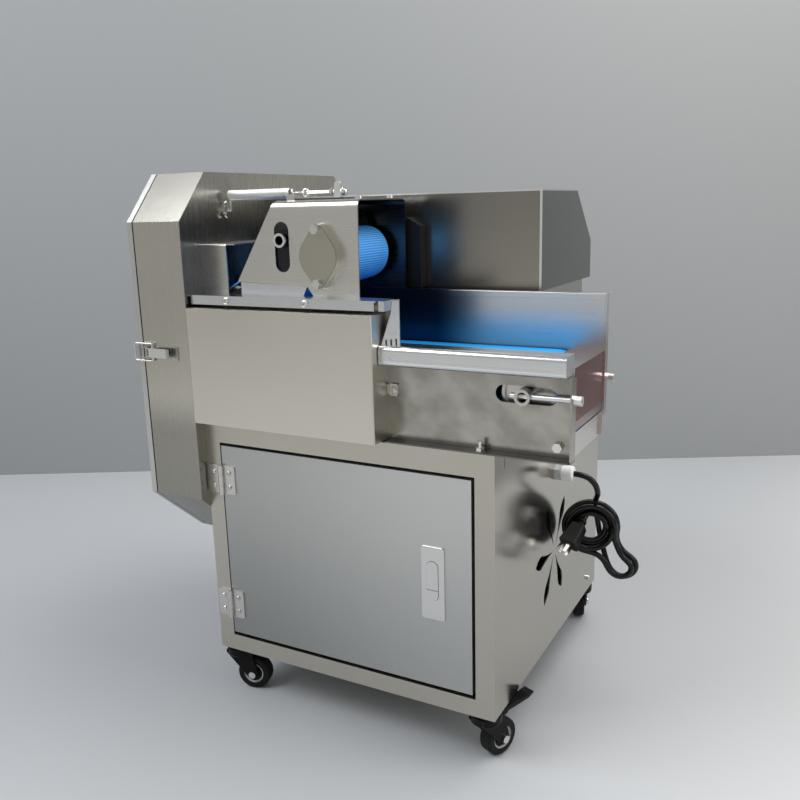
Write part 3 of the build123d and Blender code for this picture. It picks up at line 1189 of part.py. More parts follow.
# Power cord: gland, hanging run, knotted coil and plug
def cable_gland():
    x0 = CAB_W
    gland = Pos(x0, GLAND_Y, GLAND_Z) * Rot(0, 90, 0) * extrude(RegularPolygon(14, 6), 8)
    gland += rod_x(x0 + 8, x0 + 14, GLAND_Y, GLAND_Z, 11)
    nut = rod_x(x0 + 14, x0 + GLAND_L, GLAND_Y, GLAND_Z, 12.5)
    gland += fillet(nut.edges().group_by(Axis.X)[-1], 4)
    gland += rod_x(x0 - 12, x0, GLAND_Y, GLAND_Z, 9.9)
    return gland - rod_x(x0 - 13, x0 + GLAND_L + 1, GLAND_Y, GLAND_Z, CORD_D / 2)


parts["cable_gland"] = cable_gland()
cord_x0 = CAB_W + GLAND_L
coil_place = (557, 297, 267)
coil_r = 35.5
coil_bundle_r = 12.0
coil_turn = 15.0
cord_points = [(cord_x0, GLAND_Y, GLAND_Z), (cord_x0 + 19.5, GLAND_Y, GLAND_Z),
               (cord_x0 + 34.5, GLAND_Y + 2, GLAND_Z - 12.5), (cord_x0 + 37, GLAND_Y + 14, GLAND_Z - 32),
               (cord_x0 + 28, GLAND_Y + 34, GLAND_Z - 50)]


def power_cord():
    turns = []
    for a, b, c in zip(cord_points, cord_points[1:], cord_points[2:]):
        u = Vector(*b) - Vector(*a)
        v = Vector(*c) - Vector(*b)
        half = math.radians(u.get_angle(v)) / 2
        turns.append(0.45 * min(u.length, v.length) / math.tan(half))
    path = FilletPolyline(*cord_points, radius=turns)
    return sweep(Plane(path @ 0, z_dir=path % 0) * Circle(CORD_D / 2), path=path), turns


cord, cord_turns = power_cord()
parts["power_cord"] = cord


def cord_coil():
    ring = Rot(90, 0, 0) * Torus(coil_r, coil_bundle_r)
    corners = [(20, 0, -30), (22, 0, -80), (60, 0, -86), (73, 0, -60)]
    path = FilletPolyline(*corners, radius=14, close=True)
    tail = sweep(Plane(path @ 0, z_dir=path % 0) * Circle(CORD_D * 0.85), path=path)
    return Pos(*coil_place) * Rot(0, 0, coil_turn) * (ring + tail)


parts["cord_coil"] = cord_coil()

plug_rear = (543, 277, 273)
plug_way = (-0.24, -0.77, -0.59)
PLUG_L = 38.0


def plug():
    body = loft([RectangleRounded(20, 24, 4), Pos(0, 0, PLUG_L) * RectangleRounded(28, 30, 4)])
    for i in range(2):
        body += Pos(0, 0, -4 - 6 * i) * Cylinder(7.5, 3)
    body += Pos(0, 0, -8) * Cylinder(5.5, 17)
    for x in (-6.5, 6.5):
        body += Pos(x, 3, PLUG_L + 8.5) * Box(1.8, 6.3, 18)
    body += Pos(0, -7, PLUG_L + 9.5) * Cylinder(2.4, 20)
    return body


parts["plug"] = Plane(plug_rear, z_dir=plug_way).location * plug()

# The middle of the footprint, cord apart, becomes the origin
x_min = bail_x0 - 1.5
x_max = CONV_END_X + SHEET + 11
y_min = HOOD_Y0 - TOGGLE_REACH
y_max = max(CAB_D, parts["caster_wheel_rear_right"].bounding_box().max.Y)
to_origin = Pos(-(x_min + x_max) / 2, -(y_min + y_max) / 2, -floor_z)

for name, solid in parts.items():
    export_step(to_origin * solid, "parts/" + name + ".step")

print("nodes", len(parts), "origin", to_origin.position)
print("cord turns", [round(r, 1) for r in cord_turns])
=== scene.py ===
import json
import math

import bmesh
import bpy
from mathutils import Matrix, Vector


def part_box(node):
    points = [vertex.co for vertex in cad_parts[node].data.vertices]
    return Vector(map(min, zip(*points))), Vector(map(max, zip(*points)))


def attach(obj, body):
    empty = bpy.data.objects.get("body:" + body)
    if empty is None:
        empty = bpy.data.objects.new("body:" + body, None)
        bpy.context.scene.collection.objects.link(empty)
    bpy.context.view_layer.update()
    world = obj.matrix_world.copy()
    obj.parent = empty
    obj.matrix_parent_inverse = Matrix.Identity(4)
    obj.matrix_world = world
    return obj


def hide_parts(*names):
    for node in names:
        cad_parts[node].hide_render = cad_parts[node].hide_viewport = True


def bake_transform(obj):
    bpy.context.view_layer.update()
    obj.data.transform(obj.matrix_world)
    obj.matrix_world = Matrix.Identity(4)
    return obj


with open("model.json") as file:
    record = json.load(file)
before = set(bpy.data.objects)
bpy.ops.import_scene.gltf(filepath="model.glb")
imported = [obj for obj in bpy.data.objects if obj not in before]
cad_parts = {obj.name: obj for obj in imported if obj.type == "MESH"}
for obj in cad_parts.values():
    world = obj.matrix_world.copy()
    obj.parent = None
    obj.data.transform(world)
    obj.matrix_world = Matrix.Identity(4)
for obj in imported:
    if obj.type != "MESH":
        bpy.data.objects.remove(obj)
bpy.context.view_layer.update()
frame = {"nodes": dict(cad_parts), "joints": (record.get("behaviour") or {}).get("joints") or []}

# %% [markdown]
# # A vegetable cutting machine, dressed for its photograph
# The frame comes from the CAD model: every sheet, roller and screw is already in place, in metres,
# with the floor at zero. What is left for Blender is what a mesh kit can't say: the soft power lead,
# the wound spring, the finish of every surface, and the light.
# The CAD pieces are never moved. We only give them materials.
# Places that repeat the CAD source are written in its millimetres, from the cabinet's front left corner.

# %% The object as it came
nodes = frame["nodes"]
CABINET_LOW = 0.062
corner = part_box("cabinet_shell")[0] - Vector((0, 0, CABINET_LOW))


def at(x, y, z):
    """A place in the CAD source's own millimetres, as metres in the frame."""
    return corner + Vector((x, y, z)) / 1000


def x_at(mm):
    return at(mm, 0, 0).x


def y_at(mm):
    return at(0, mm, 0).y


def z_at(mm):
    return at(0, 0, mm).z


# %% [markdown]
# ## The camera
# The photograph was taken from the front right, a little above the hood, with the camera tipped down.
# A camera can be placed by eye, but its angles are measured here from the long edges of the cabinet,
# so we write them as turns: yaw about the vertical, pitch down, and a small roll.
# The three axes of the camera are worked out from those turns and set as a matrix.

# %% Camera
CAMERA_AT = at(908.0, -1001.0, 797.2)
YAW, PITCH, ROLL = (math.radians(a) for a in (28.585, 13.082, 1.523))
LENS_MM = 37.574
SENSOR_MM = 36.0

forward = Vector((-math.sin(YAW) * math.cos(PITCH), math.cos(YAW) * math.cos(PITCH), -math.sin(PITCH)))
level_right = forward.cross(Vector((0, 0, 1))).normalized()
level_down = forward.cross(level_right)
right = math.cos(ROLL) * level_right + math.sin(ROLL) * level_down
down = -math.sin(ROLL) * level_right + math.cos(ROLL) * level_down

camera_data = bpy.data.cameras.new("photo_camera")
camera_data.lens = LENS_MM
camera_data.sensor_width = SENSOR_MM
camera = bpy.data.objects.new("photo_camera", camera_data)
turn = Matrix((right, -down, -forward)).transposed().to_4x4()
camera.matrix_world = Matrix.Translation(CAMERA_AT) @ turn
bpy.context.scene.collection.objects.link(camera)
bpy.context.scene.camera = camera
print("camera at", tuple(CAMERA_AT), "lens", LENS_MM)

# %% [markdown]
# ## The power lead
# A black round lead leaves the gland on the right side and drops behind a ring that it is tied into. It
# hangs out of the ring as two loops, goes round it four times, and ends in a plug that looks out to
# the left.
# It is one piece of cord, so it is one spline. A NURBS spline passes near its points and never kinks,
# which is how a lead bends. The hanging run repeats the points of the CAD route. The ring's turns are
# points from a loop, because a circle is quicker to write than to place by hand. Each turn has its own
# radius and depth, so that no two strands lie in one place.

# %% Route of the lead
CORD_D = 0.0095
COIL_AT = at(557, 297, 267)
COIL_TURN = Matrix.Rotation(math.radians(15), 3, "Z")


def by_ring(x, y, z):
    """A point in millimetres across, behind and above the ring's middle, in the frame's metres."""
    return COIL_AT + COIL_TURN @ (Vector((x, y, z)) / 1000)


def ring_turn(first_angle, last_angle, steps, r0, r1, y0, y1):
    """Points round the ring, against the clock as the camera sees it. Radius and depth may change."""
    made = []
    for i in range(steps):
        t = i / (steps - 1)
        a = math.radians(first_angle + (last_angle - first_angle) * t)
        r = r0 + (r1 - r0) * t
        made.append(by_ring(r * math.cos(a), y0 + (y1 - y0) * t, r * math.sin(a)))
    return made


hanging_run = [at(*p) for p in (
    (535, 268, 366), (554.5, 268, 366), (569.5, 270, 353.5), (572, 282, 334), (563, 302, 316),
)]
behind_ring = [by_ring(*p) for p in ((5, 19, 36), (8, 23, 18), (12, 23, -2), (16, 19, -24), (21, 15, -42))]
rear_loop = [by_ring(*p) for p in (
    (25, 13, -56), (30, 11, -70), (37, 10, -81), (47, 10, -88), (59, 10, -89), (70, 10, -83), (76, 10, -72),
    (74, 9, -60), (65, 8, -51), (54, 8, -43), (46, 6, -31),
)]
outer_turn = ring_turn(-20, 250, 14, 44, 44, 5, 0)
front_loop = [by_ring(*p) for p in (
    (0, -3, -43), (12, -5, -46), (22, -6, -54), (28, -6, -66), (35, -5, -77), (46, -5, -83), (57, -5, -82),
    (66, -5, -75), (68, -5, -64), (61, -5, -55), (51, -5, -46), (44, -5, -32),
)]
second_turn = ring_turn(-20, 352, 20, 40, 36, -5, -5)
third_turn = ring_turn(12, 352, 18, 33, 30, 4, 4)
inner_turn = ring_turn(12, 408, 20, 26, 24, -5, 7)
PLUG_REAR = at(543, 277, 273)
PLUG_WAY = Vector((-0.24, -0.77, -0.59)).normalized()
SLEEVE_L = 0.0165
BEFORE_SLEEVE = 0.030
to_plug = [
    by_ring(10, 13, 26),
    by_ring(2, 12, 28),
    PLUG_REAR - PLUG_WAY * BEFORE_SLEEVE,
    PLUG_REAR - PLUG_WAY * SLEEVE_L,
]
turns = outer_turn + front_loop + second_turn + third_turn + inner_turn
route = hanging_run + behind_ring + rear_loop + turns + to_plug
print("lead points", len(route))

# %% [markdown]
# The points now become one spline with a round bevel. The bevel is one metre and each point's radius
# scales it down to the lead's own: Blender grows a curve's box by the points' radius, and left at one
# it would make the whole object look two metres wide. The lead takes the place of the CAD tube and the
# CAD knot, and its length is measured along the finished curve.

# %% Lead as one spline
lead_curve = bpy.data.curves.new("power_lead", "CURVE")
lead_curve.dimensions = "3D"
lead_curve.bevel_depth = 1.0
lead_curve.bevel_resolution = 5
lead_curve.resolution_u = 8
lead_curve.use_fill_caps = True
spline = lead_curve.splines.new("NURBS")
spline.points.add(len(route) - 1)
for point, place in zip(spline.points, route):
    point.co = (*place, 1)
    point.radius = CORD_D / 2
spline.order_u = 3
spline.use_endpoint_u = True
power_lead = bpy.data.objects.new("power_lead", lead_curve)
bpy.context.scene.collection.objects.link(power_lead)
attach(power_lead, "frame")
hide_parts("power_cord", "cord_coil")


def length_of(curve_object):
    """The length of a curve's own line, in metres."""
    bare = curve_object.data.copy()
    bare.bevel_depth = 0
    probe = bpy.data.objects.new("probe", bare)
    bpy.context.scene.collection.objects.link(probe)
    bpy.context.view_layer.update()
    line = bpy.data.meshes.new_from_object(probe.evaluated_get(bpy.context.evaluated_depsgraph_get()))
    places = [v.co for v in line.vertices]
    total = sum((places[e.vertices[0]] - places[e.vertices[1]]).length for e in line.edges)
    bpy.data.objects.remove(probe)
    bpy.data.curves.remove(bare)
    bpy.data.meshes.remove(line)
    return total


lead_length = length_of(power_lead)
print("lead length", round(lead_length, 3))

# %% [markdown]
# ## The press spring
# A steel extension spring pulls the press arm up. It is close wound, so its turns touch and catch the
# light as fine stripes, which a plain tube can't do. A curve along a helix would give it, but the rule
# for hard pieces is bmesh: a small circle is spun round the spring's axis while it moves along it.
# Each end is drawn out into a hook. The left one drops to its anchor, the right one goes to a loop.
# The spring joins two bodies.
# It takes the place of the plain bar that stands for it in the CAD model.

# %% Wound spring
SPRING_LEFT, SPRING_RIGHT = at(10, 91, 821), at(132, 91, 821)
ANCHOR = at(11, 91, 803)
WIRE_R = 0.0013
HOOK_R = 0.0016
STEM_R = 0.0015
EYE_R = 0.0014
TURN_R = 0.0067
TURNS = 46
STEPS_A_TURN = 14
BAR_HALF = Vector((0, 0, 0.0062))
STEM_END = SPRING_RIGHT + Vector((0.008, 0, 0))
EYE_MIDDLE = SPRING_RIGHT + Vector((0.016, 0, 0))
EYE_TURN_R = 0.0085


def new_piece(name, mesh_maker):
    """A finished smooth piece at the origin, from a function that fills a bmesh."""
    bm = bmesh.new()
    mesh_maker(bm)
    bmesh.ops.remove_doubles(bm, verts=bm.verts, dist=1e-6)
    bmesh.ops.recalc_face_normals(bm, faces=bm.faces)
    mesh = bpy.data.meshes.new(name)
    bm.to_mesh(mesh)
    bm.free()
    for face in mesh.polygons:
        face.use_smooth = True
    piece = bpy.data.objects.new(name, mesh)
    bpy.context.scene.collection.objects.link(piece)
    return piece


def disc(bm, r, sides, place):
    return bmesh.ops.create_circle(bm, cap_ends=False, radius=r, segments=sides, matrix=place)["verts"]


def rod(bm, a, b, r, sides=10):
    """A closed round bar from a to b."""
    a, b = Vector(a), Vector(b)
    way = (b - a).to_track_quat("Z", "Y").to_matrix().to_4x4()
    place = Matrix.Translation((a + b) / 2) @ way
    bmesh.ops.create_cone(bm, cap_ends=True, segments=sides, radius1=r, radius2=r,
                          depth=(b - a).length, matrix=place)


def wound_wire(bm):
    start = SPRING_LEFT + Vector((0.001, 0, 0))
    place = Matrix.Translation(start + Vector((0, 0, TURN_R)))
    ring = disc(bm, WIRE_R, 6, place @ Matrix.Rotation(math.radians(90), 4, "X"))
    steps = TURNS * STEPS_A_TURN
    run = SPRING_RIGHT.x - SPRING_LEFT.x - 0.002
    bmesh.ops.spin(bm, geom=list(ring) + list(bm.edges), cent=start, axis=(1, 0, 0),
                   dvec=(run / steps, 0, 0), angle=math.tau * TURNS, steps=steps)
    rod(bm, start - Vector((0, 0, 0.002)), ANCHOR, HOOK_R)
    rod(bm, SPRING_LEFT - BAR_HALF, SPRING_LEFT + BAR_HALF, WIRE_R)
    rod(bm, SPRING_RIGHT - Vector((0.001, 0, 0)), STEM_END, STEM_R)
    rod(bm, SPRING_RIGHT - BAR_HALF, SPRING_RIGHT + BAR_HALF, WIRE_R)


def loop_wire(bm):
    place = Matrix.Translation(EYE_MIDDLE + Vector((EYE_TURN_R, 0, 0)))
    ring = disc(bm, EYE_R, 10, place @ Matrix.Rotation(math.radians(90), 4, "X"))
    bmesh.ops.spin(bm, geom=list(ring) + list(bm.edges), cent=EYE_MIDDLE, axis=(0, 0, 1),
                   angle=math.tau, steps=32, use_merge=True)


def spring_shape(bm):
    wound_wire(bm)
    hook = bmesh.new()
    loop_wire(hook)
    made = bpy.data.meshes.new("hook")
    hook.to_mesh(made)
    hook.free()
    bm.from_mesh(made)
    bpy.data.meshes.remove(made)


wound_spring = new_piece("wound_spring", spring_shape)
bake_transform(wound_spring)
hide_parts("press_spring")
print("spring faces", len(wound_spring.data.polygons))

# %% [markdown]
# ## Shader maths in plain expressions
# A material is a net of nodes. Written out one link at a time it is hard to read, so one small class
# wraps a socket and lets us write sums: `1 - mask` or `grain * 0.1 + 0.3` adds the Math nodes.

# %% A socket that can be added and multiplied
class Signal:
    """One output of a shader node. Arithmetic on it adds Math nodes."""

    def __init__(self, paint, socket):
        self.paint, self.socket = paint, socket

    def maths(self, operation, *values):
        return self.paint.node("ShaderNodeMath", {"operation": operation}, dict(enumerate(values)))

    def __add__(self, other):
        return self.maths("ADD", self, other)

    def __radd__(self, other):
        return self.maths("ADD", other, self)

    def __sub__(self, other):
        return self.maths("SUBTRACT", self, other)

    def __rsub__(self, other):
        return self.maths("SUBTRACT", other, self)

    def __mul__(self, other):
        return self.maths("MULTIPLY", self, other)

    def __pow__(self, other):
        return self.maths("POWER", self, other)

    def above(self, edge):
        return self.maths("GREATER_THAN", self, edge)

    def below(self, edge):
        return self.maths("LESS_THAN", self, edge)

    def size(self):
        return self.maths("ABSOLUTE", self)

    def wave(self):
        return self.maths("SINE", self)

    def larger(self, other):
        return self.maths("MAXIMUM", self, other)


# %% [markdown]
# A second class holds one material. Every node comes from one method that takes its type, its settings
# and its inputs, so a finish reads as a few lines. All patterns use Object coordinates, which stay put
# on a piece and are in metres, so a scratch has the same size on every panel.

# %% A material and its nodes
class Paint:
    """A material, its Principled shader, and one way to add any other node."""

    def __init__(self, name, colour, roughness, metallic=0.0, **fixed):
        self.material = bpy.data.materials.new(name)
        self.material.use_nodes = True
        self.tree = self.material.node_tree
        self.shader = self.tree.nodes["Principled BSDF"]
        self.material.diffuse_color = (*colour, 1)
        self.plug("Base Color", colour)
        self.plug("Roughness", roughness)
        self.plug("Metallic", metallic)
        for key, value in fixed.items():
            self.plug(key.replace("_", " "), value)

    def put(self, socket, value):
        if isinstance(value, Signal):
            self.tree.links.new(value.socket, socket)
        elif isinstance(value, (tuple, list)) and len(value) == 3 and len(socket.default_value) == 4:
            socket.default_value = (*value, 1)
        else:
            socket.default_value = value

    def plug(self, name, value):
        self.put(self.shader.inputs[name], value)
        return self

    def node(self, kind, settings=None, inputs=None, out=0):
        made = self.tree.nodes.new(kind)
        for key, value in (settings or {}).items():
            setattr(made, key, value)
        for key, value in (inputs or {}).items():
            self.put(made.inputs[key], value)
        return Signal(self, made.outputs[out])

    def coords(self, scale=(1, 1, 1), at=(0, 0, 0), turned=(0, 0, 0)):
        """Object coordinates in metres, moved, turned and scaled for a pattern."""
        here = self.node("ShaderNodeTexCoord", out="Object")
        if any(turned) or any(at):
            here = self.node("ShaderNodeMapping", {"vector_type": "TEXTURE"},
                             {"Vector": here, "Location": at, "Rotation": turned})
        return self.node("ShaderNodeMapping", {}, {"Vector": here, "Scale": scale})

    def noise(self, scale, detail=4.0, rough=0.55, **place):
        return self.node("ShaderNodeTexNoise", {},
                         {"Vector": self.coords(scale, **place), "Scale": 1.0, "Detail": detail,
                          "Roughness": rough}, out="Fac")

    def axis(self, letter, **place):
        return self.node("ShaderNodeSeparateXYZ", {}, {0: self.coords(**place)}, out="XYZ".index(letter))

    def mix(self, mask, a, b):
        """Colour a where the mask is 0, colour b where it is 1."""
        return self.node("ShaderNodeMix", {"data_type": "RGBA"}, {0: mask, 6: a, 7: b}, out=2)

    def tint(self, mask, colour):
        """Changes what feeds Base Color to another colour where the mask is 1."""
        return self.plug("Base Color", self.mix(mask, self.colour(), colour))

    def bump(self, height, strength, distance=0.001):
        self.plug("Normal", self.node("ShaderNodeBump", {}, {"Height": height, "Strength": strength,
                                                              "Distance": distance}))
        return self

    def between(self, letter, low, high):
        """A smooth ramp from 0 at low to 1 at high along an axis, in metres."""
        return self.node("ShaderNodeMapRange", {"interpolation_type": "SMOOTHSTEP"},
                         {"Value": self.axis(letter), "From Min": low, "From Max": high})

    def colour(self):
        """What feeds Base Color now, as a link or a value."""
        base = self.shader.inputs["Base Color"]
        return Signal(self, base.links[0].from_socket) if base.links else tuple(base.default_value)[:3]

    def bright_metal(self, mask, colour=(0.72, 0.72, 0.71), roughness=0.25):
        """Turns the surface to bare bright metal where the mask is 1."""
        rough = self.shader.inputs["Roughness"]
        was = Signal(self, rough.links[0].from_socket) if rough.links else rough.default_value
        self.tint(mask, colour)
        self.plug("Roughness", (1 - mask) * was + mask * roughness)
        return self.plug("Metallic", mask)


def dress(paint, *names):
    """Gives CAD nodes, or pieces made here, one material."""
    for name in names:
        target = nodes[name] if name in nodes else bpy.data.objects[name]
        if not target.data.materials:
            target.data.materials.append(paint.material)
        for i in range(len(target.material_slots)):
            target.material_slots[i].material = paint.material
    return paint


# %% [markdown]
# ## Brushed stainless steel
# Sheet steel for kitchens is brushed in one direction: long fine scratches that stretch a reflection
# across them. Over the scratches lie soft clouds from handling and wiping. The scratches are a noise
# that is squeezed across the brushing and stretched along it. It changes the roughness a little and
# lifts a very small bump. The clouds are a broad noise that shifts colour and roughness slowly.
# Panels were cut from sheet in different directions, so the direction is a setting.
# The cabinet's right side is polished smoother than its front, and it carries a painted shade towards its
# top.
# The mask of a flat face starts just under the face, so that rounding can't miss it.

# %% Plain brushed steel
GRAINS = {"x": (3, 700, 700), "y": (700, 3, 700), "z": (700, 700, 3)}


def brushed_steel(name, colour, roughness, grain="x", clouds=0.08, streaks=0.06, lift=0.05):
    paint = Paint(name, colour, roughness, 1.0)
    scratches = paint.noise(GRAINS[grain], 5.0, 0.7)
    cloud = paint.noise((5, 5, 5), 3.0, 0.5)
    wipe = paint.noise(tuple(s / 25 if s > 3 else 2 for s in GRAINS[grain]), 2.0, 0.5, at=(0.3, 0.2, 0.1))
    tone = (scratches - 0.5) * streaks + (cloud - 0.5) * clouds * 2 + (wipe - 0.5) * clouds
    dark = tuple(c * 0.82 for c in colour)
    light = tuple(min(1, c * 1.14) for c in colour)
    paint.plug("Base Color", paint.mix(tone + 0.5, dark, light))
    paint.plug("Roughness", roughness + (scratches - 0.5) * 0.12 + (cloud - 0.5) * 0.12)
    return paint.bump(scratches, lift, 0.0004)


JUST_UNDER = 0.0004
WARM = (0.50, 0.475, 0.42)
COOL = (0.50, 0.50, 0.49)
cabinet_paint = brushed_steel("steel_cabinet", WARM, 0.32, "z")
wall_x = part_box("cabinet_shell")[1].x
polished_side = cabinet_paint.axis("X").above(wall_x - JUST_UNDER)
side_cloud = cabinet_paint.noise((7, 7, 7), 3.0)
cabinet_paint.plug("Roughness", (1 - polished_side) * 0.33 + polished_side * 0.17 + (side_cloud - 0.5) * 0.08)
# Painted shade: the polished right side is painted darker towards its top.
SIDE_SHADE_SPAN = z_at(395), z_at(442)
cabinet_paint.tint(polished_side * cabinet_paint.between("Z", *SIDE_SHADE_SPAN), (0.20, 0.19, 0.165))
dress(cabinet_paint, "cabinet_shell")
dress(brushed_steel("steel_lip", (0.74, 0.76, 0.78), 0.20, "x"), "trough_lip", "side_ledge")
dress(brushed_steel("steel_cover", (0.64, 0.61, 0.55), 0.34, "x", clouds=0.06), "transmission_cover")
dress(brushed_steel("steel_throat", (0.60, 0.585, 0.54), 0.28, "x", clouds=0.06), "throat_housing")
dress(brushed_steel("steel_hood_cover", (0.56, 0.56, 0.55), 0.36, "z"), "hood_cover")
dress(brushed_steel("steel_rear", (0.52, 0.51, 0.48), 0.24, "x", clouds=0.12), "rear_housing")
print("plain steel panels dressed")

# %% [markdown]
# Some panels aren't even. The door carries a painted shade low down on its hinge side, where it mirrors
# the floor in the machine's shadow. The conveyor's front plate has swirls from polishing, its left end
# carries a painted shade, and its foot flange is painted dark as the shadow in the gap above the cabinet.
# The trough's back wall carries a painted shade towards the throat and just above the belt. The inside
# of the press unit, the hood's side below its top and the hood under the knives are painted dark as
# shade. The control box's front carries a painted shade, darker to the left and towards its top, its
# end face is painted darker as shade, and its top and right cut edges carry painted highlights.
# Each of these is a smooth ramp or a plain mask on the panel's own place.

# %% Uneven panels
door_paint = brushed_steel("steel_door", COOL, 0.42, "z", clouds=0.04)
door_low, door_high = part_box("cabinet_door")
across_door = door_paint.between("X", door_low.x, door_high.x)
up_door = door_paint.between("Z", door_low.z, door_high.z)
# Painted shade: the door is painted darker low down on its hinge side, where it mirrors the floor in the
# machine's shadow.
door_paint.plug("Base Color", door_paint.mix(across_door * 0.5 + up_door * 0.5, (0.33, 0.335, 0.325),
                                             (0.60, 0.605, 0.595)))
dress(door_paint, "cabinet_door")

plate_paint = brushed_steel("steel_conveyor", (0.50, 0.485, 0.44), 0.25, "x", clouds=0.1)
swirl = plate_paint.noise((22, 22, 30), 2.0, 0.5, turned=(0, 0.7, 0))
FOOT_TOP = z_at(469.5)
COVER_SHADE = x_at(296), x_at(325)
plate_paint.plug("Base Color", plate_paint.mix((swirl - 0.5) * 2.4 + 0.5, (0.27, 0.26, 0.235),
                                               (0.44, 0.43, 0.40)))
# Painted shade: the left end of the plate, beside the transmission cover, is painted dark.
plate_paint.tint(1 - plate_paint.between("X", *COVER_SHADE), (0.11, 0.105, 0.09))
# Painted shade: the foot flange is painted dark, as the shadow in the gap above the cabinet.
plate_paint.tint(plate_paint.axis("Z").below(FOOT_TOP), (0.16, 0.155, 0.145))
dress(plate_paint, "conveyor_front_plate")

trough_paint = brushed_steel("steel_trough", (0.74, 0.75, 0.76), 0.30, "x", clouds=0.1)
belt_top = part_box("feed_belt")[1].z
OVER_BELT = belt_top + 0.001, belt_top + 0.05
NEAR_THROAT = x_at(340), x_at(440)
# Painted shade: the back wall is painted darker just above the belt and towards the throat.
trough_paint.tint(1 - trough_paint.between("Z", *OVER_BELT), (0.50, 0.43, 0.42))
trough_paint.tint(1 - trough_paint.between("X", *NEAR_THROAT), (0.05, 0.06, 0.10))
dress(trough_paint, "conveyor_rear_plate")

arm_paint = brushed_steel("steel_press_arm", (0.72, 0.72, 0.71), 0.34, "x")
# Painted shade: the arm inside the press unit, behind its front and below its top, is painted nearly black.
INSIDE_BELOW, INSIDE_BEHIND = z_at(812), y_at(21)
arm_inside_shade = arm_paint.axis("Z").below(INSIDE_BELOW) * arm_paint.axis("Y").above(INSIDE_BEHIND)
arm_paint.tint(arm_inside_shade, (0.035, 0.035, 0.04))
dress(arm_paint, "press_arm")

press_paint = brushed_steel("steel_press", (0.64, 0.625, 0.58), 0.27, "x", clouds=0.06)
# Painted shade: the inside of the press frame, behind its front and below its top, is painted dark.
INSIDE_BELOW, INSIDE_BEHIND = z_at(806), y_at(27)
press_inside_shade = press_paint.axis("Y").above(INSIDE_BEHIND) * press_paint.axis("Z").below(INSIDE_BELOW)
press_paint.tint(press_inside_shade, (0.10, 0.10, 0.105))
dress(press_paint, "press_frame")

hood_paint = brushed_steel("steel_hood", (0.53, 0.51, 0.455), 0.26, "z", clouds=0.12)
# Painted shade: the hood's side is painted darker below its top, beside the throat, and the hood darker under
# the knives.
HOOD_SIDE = x_at(-1)
SIDE_CLEARS = z_at(735), z_at(815)
UNDER_KNIVES = z_at(440), z_at(520)
hood_side_shade = 1 - hood_paint.between("Z", *SIDE_CLEARS)
hood_paint.tint(hood_paint.axis("X").above(HOOD_SIDE) * hood_side_shade, (0.21, 0.22, 0.245))
hood_paint.tint(1 - hood_paint.between("Z", *UNDER_KNIVES), (0.30, 0.29, 0.26))
dress(hood_paint, "hood_shell")

box_paint = brushed_steel("steel_control_box", (0.55, 0.53, 0.48), 0.24, "x", clouds=0.12)
box_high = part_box("control_box")[1]
BOX_ACROSS, BOX_UP = (x_at(230), x_at(470)), (z_at(680), z_at(810))
CORNER_W, TOP_EDGE_H = 0.004, 0.0022
box_end = box_paint.axis("X").above(box_high.x - JUST_UNDER)
# Painted shade: the box's front is painted darker to the left and towards its top.
box_shade = box_paint.between("X", *BOX_ACROSS) * 0.6 + (1 - box_paint.between("Z", *BOX_UP)) * 0.4
box_corner_highlight = box_paint.axis("X").above(box_high.x - CORNER_W) * (1 - box_end)
box_paint.plug("Base Color", box_paint.mix(box_shade, (0.20, 0.195, 0.18), (0.37, 0.35, 0.305)))
# Painted shade: the end face is painted a darker grey.
box_paint.tint(box_end, (0.22, 0.22, 0.22))
# Painted highlights along the top edge and the right-hand corner.
box_paint.tint(box_paint.axis("Z").above(box_high.z - TOP_EDGE_H).larger(box_corner_highlight), (0.86, 0.86, 0.85))
dress(box_paint, "control_box")
print("uneven panels dressed")

# %% [markdown]
# ## The polished end plate
# The plate at the end of the trough was left with its mirror face outwards. In the photograph it shows
# something dark red that stood beside the machine, and its cut edges stay bright. A mirror alone would
# show our pale studio, so the outer face is tinted. Its mask is the distance along the machine.

# %% End plate
end_low, end_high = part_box("trough_end_plate")
end_plate = brushed_steel("steel_end_plate", (0.58, 0.56, 0.54), 0.20, "y")
outer_face = end_plate.axis("X").above(end_high.x - JUST_UNDER)
dim = end_plate.noise((9, 9, 14), 2.0)
wine = end_plate.mix(dim, (0.13, 0.030, 0.024), (0.27, 0.085, 0.07))
end_plate.plug("Base Color", end_plate.mix(outer_face, (0.60, 0.58, 0.56), wine))
dress(end_plate, "trough_end_plate")
print("end plate from", round(end_low.x, 4), "to", round(end_high.x, 4))

# %% [markdown]
# ## Turned, plated and ground metal
# Shafts and rollers are turned on a lathe, so their marks run round them. Screws, hinges and the spring
# are plated: bright grey with small specks. The take-up screws are dark up to their bright heads. Knife
# blades are ground flat and almost mirror-like.

# %% Small metal finishes
def turned_metal(name, colour, roughness, along):
    paint = Paint(name, colour, roughness, 1.0)
    scale = tuple(900 if letter == along else 6 for letter in "xyz")
    rings = paint.noise(scale, 3.0, 0.6)
    paint.plug("Roughness", roughness + (rings - 0.5) * 0.2)
    paint.plug("Base Color", paint.mix(rings, tuple(c * 0.85 for c in colour), colour))
    return paint.bump(rings, 0.12, 0.0004)


def plated_metal(name, colour, roughness):
    paint = Paint(name, colour, roughness, 1.0)
    specks = paint.noise((420, 420, 420), 3.0, 0.6)
    paint.plug("Roughness", roughness + (specks - 0.5) * 0.22)
    paint.plug("Base Color", paint.mix(specks, tuple(c * 0.8 for c in colour), colour))
    return paint.bump(specks, 0.08, 0.0003)


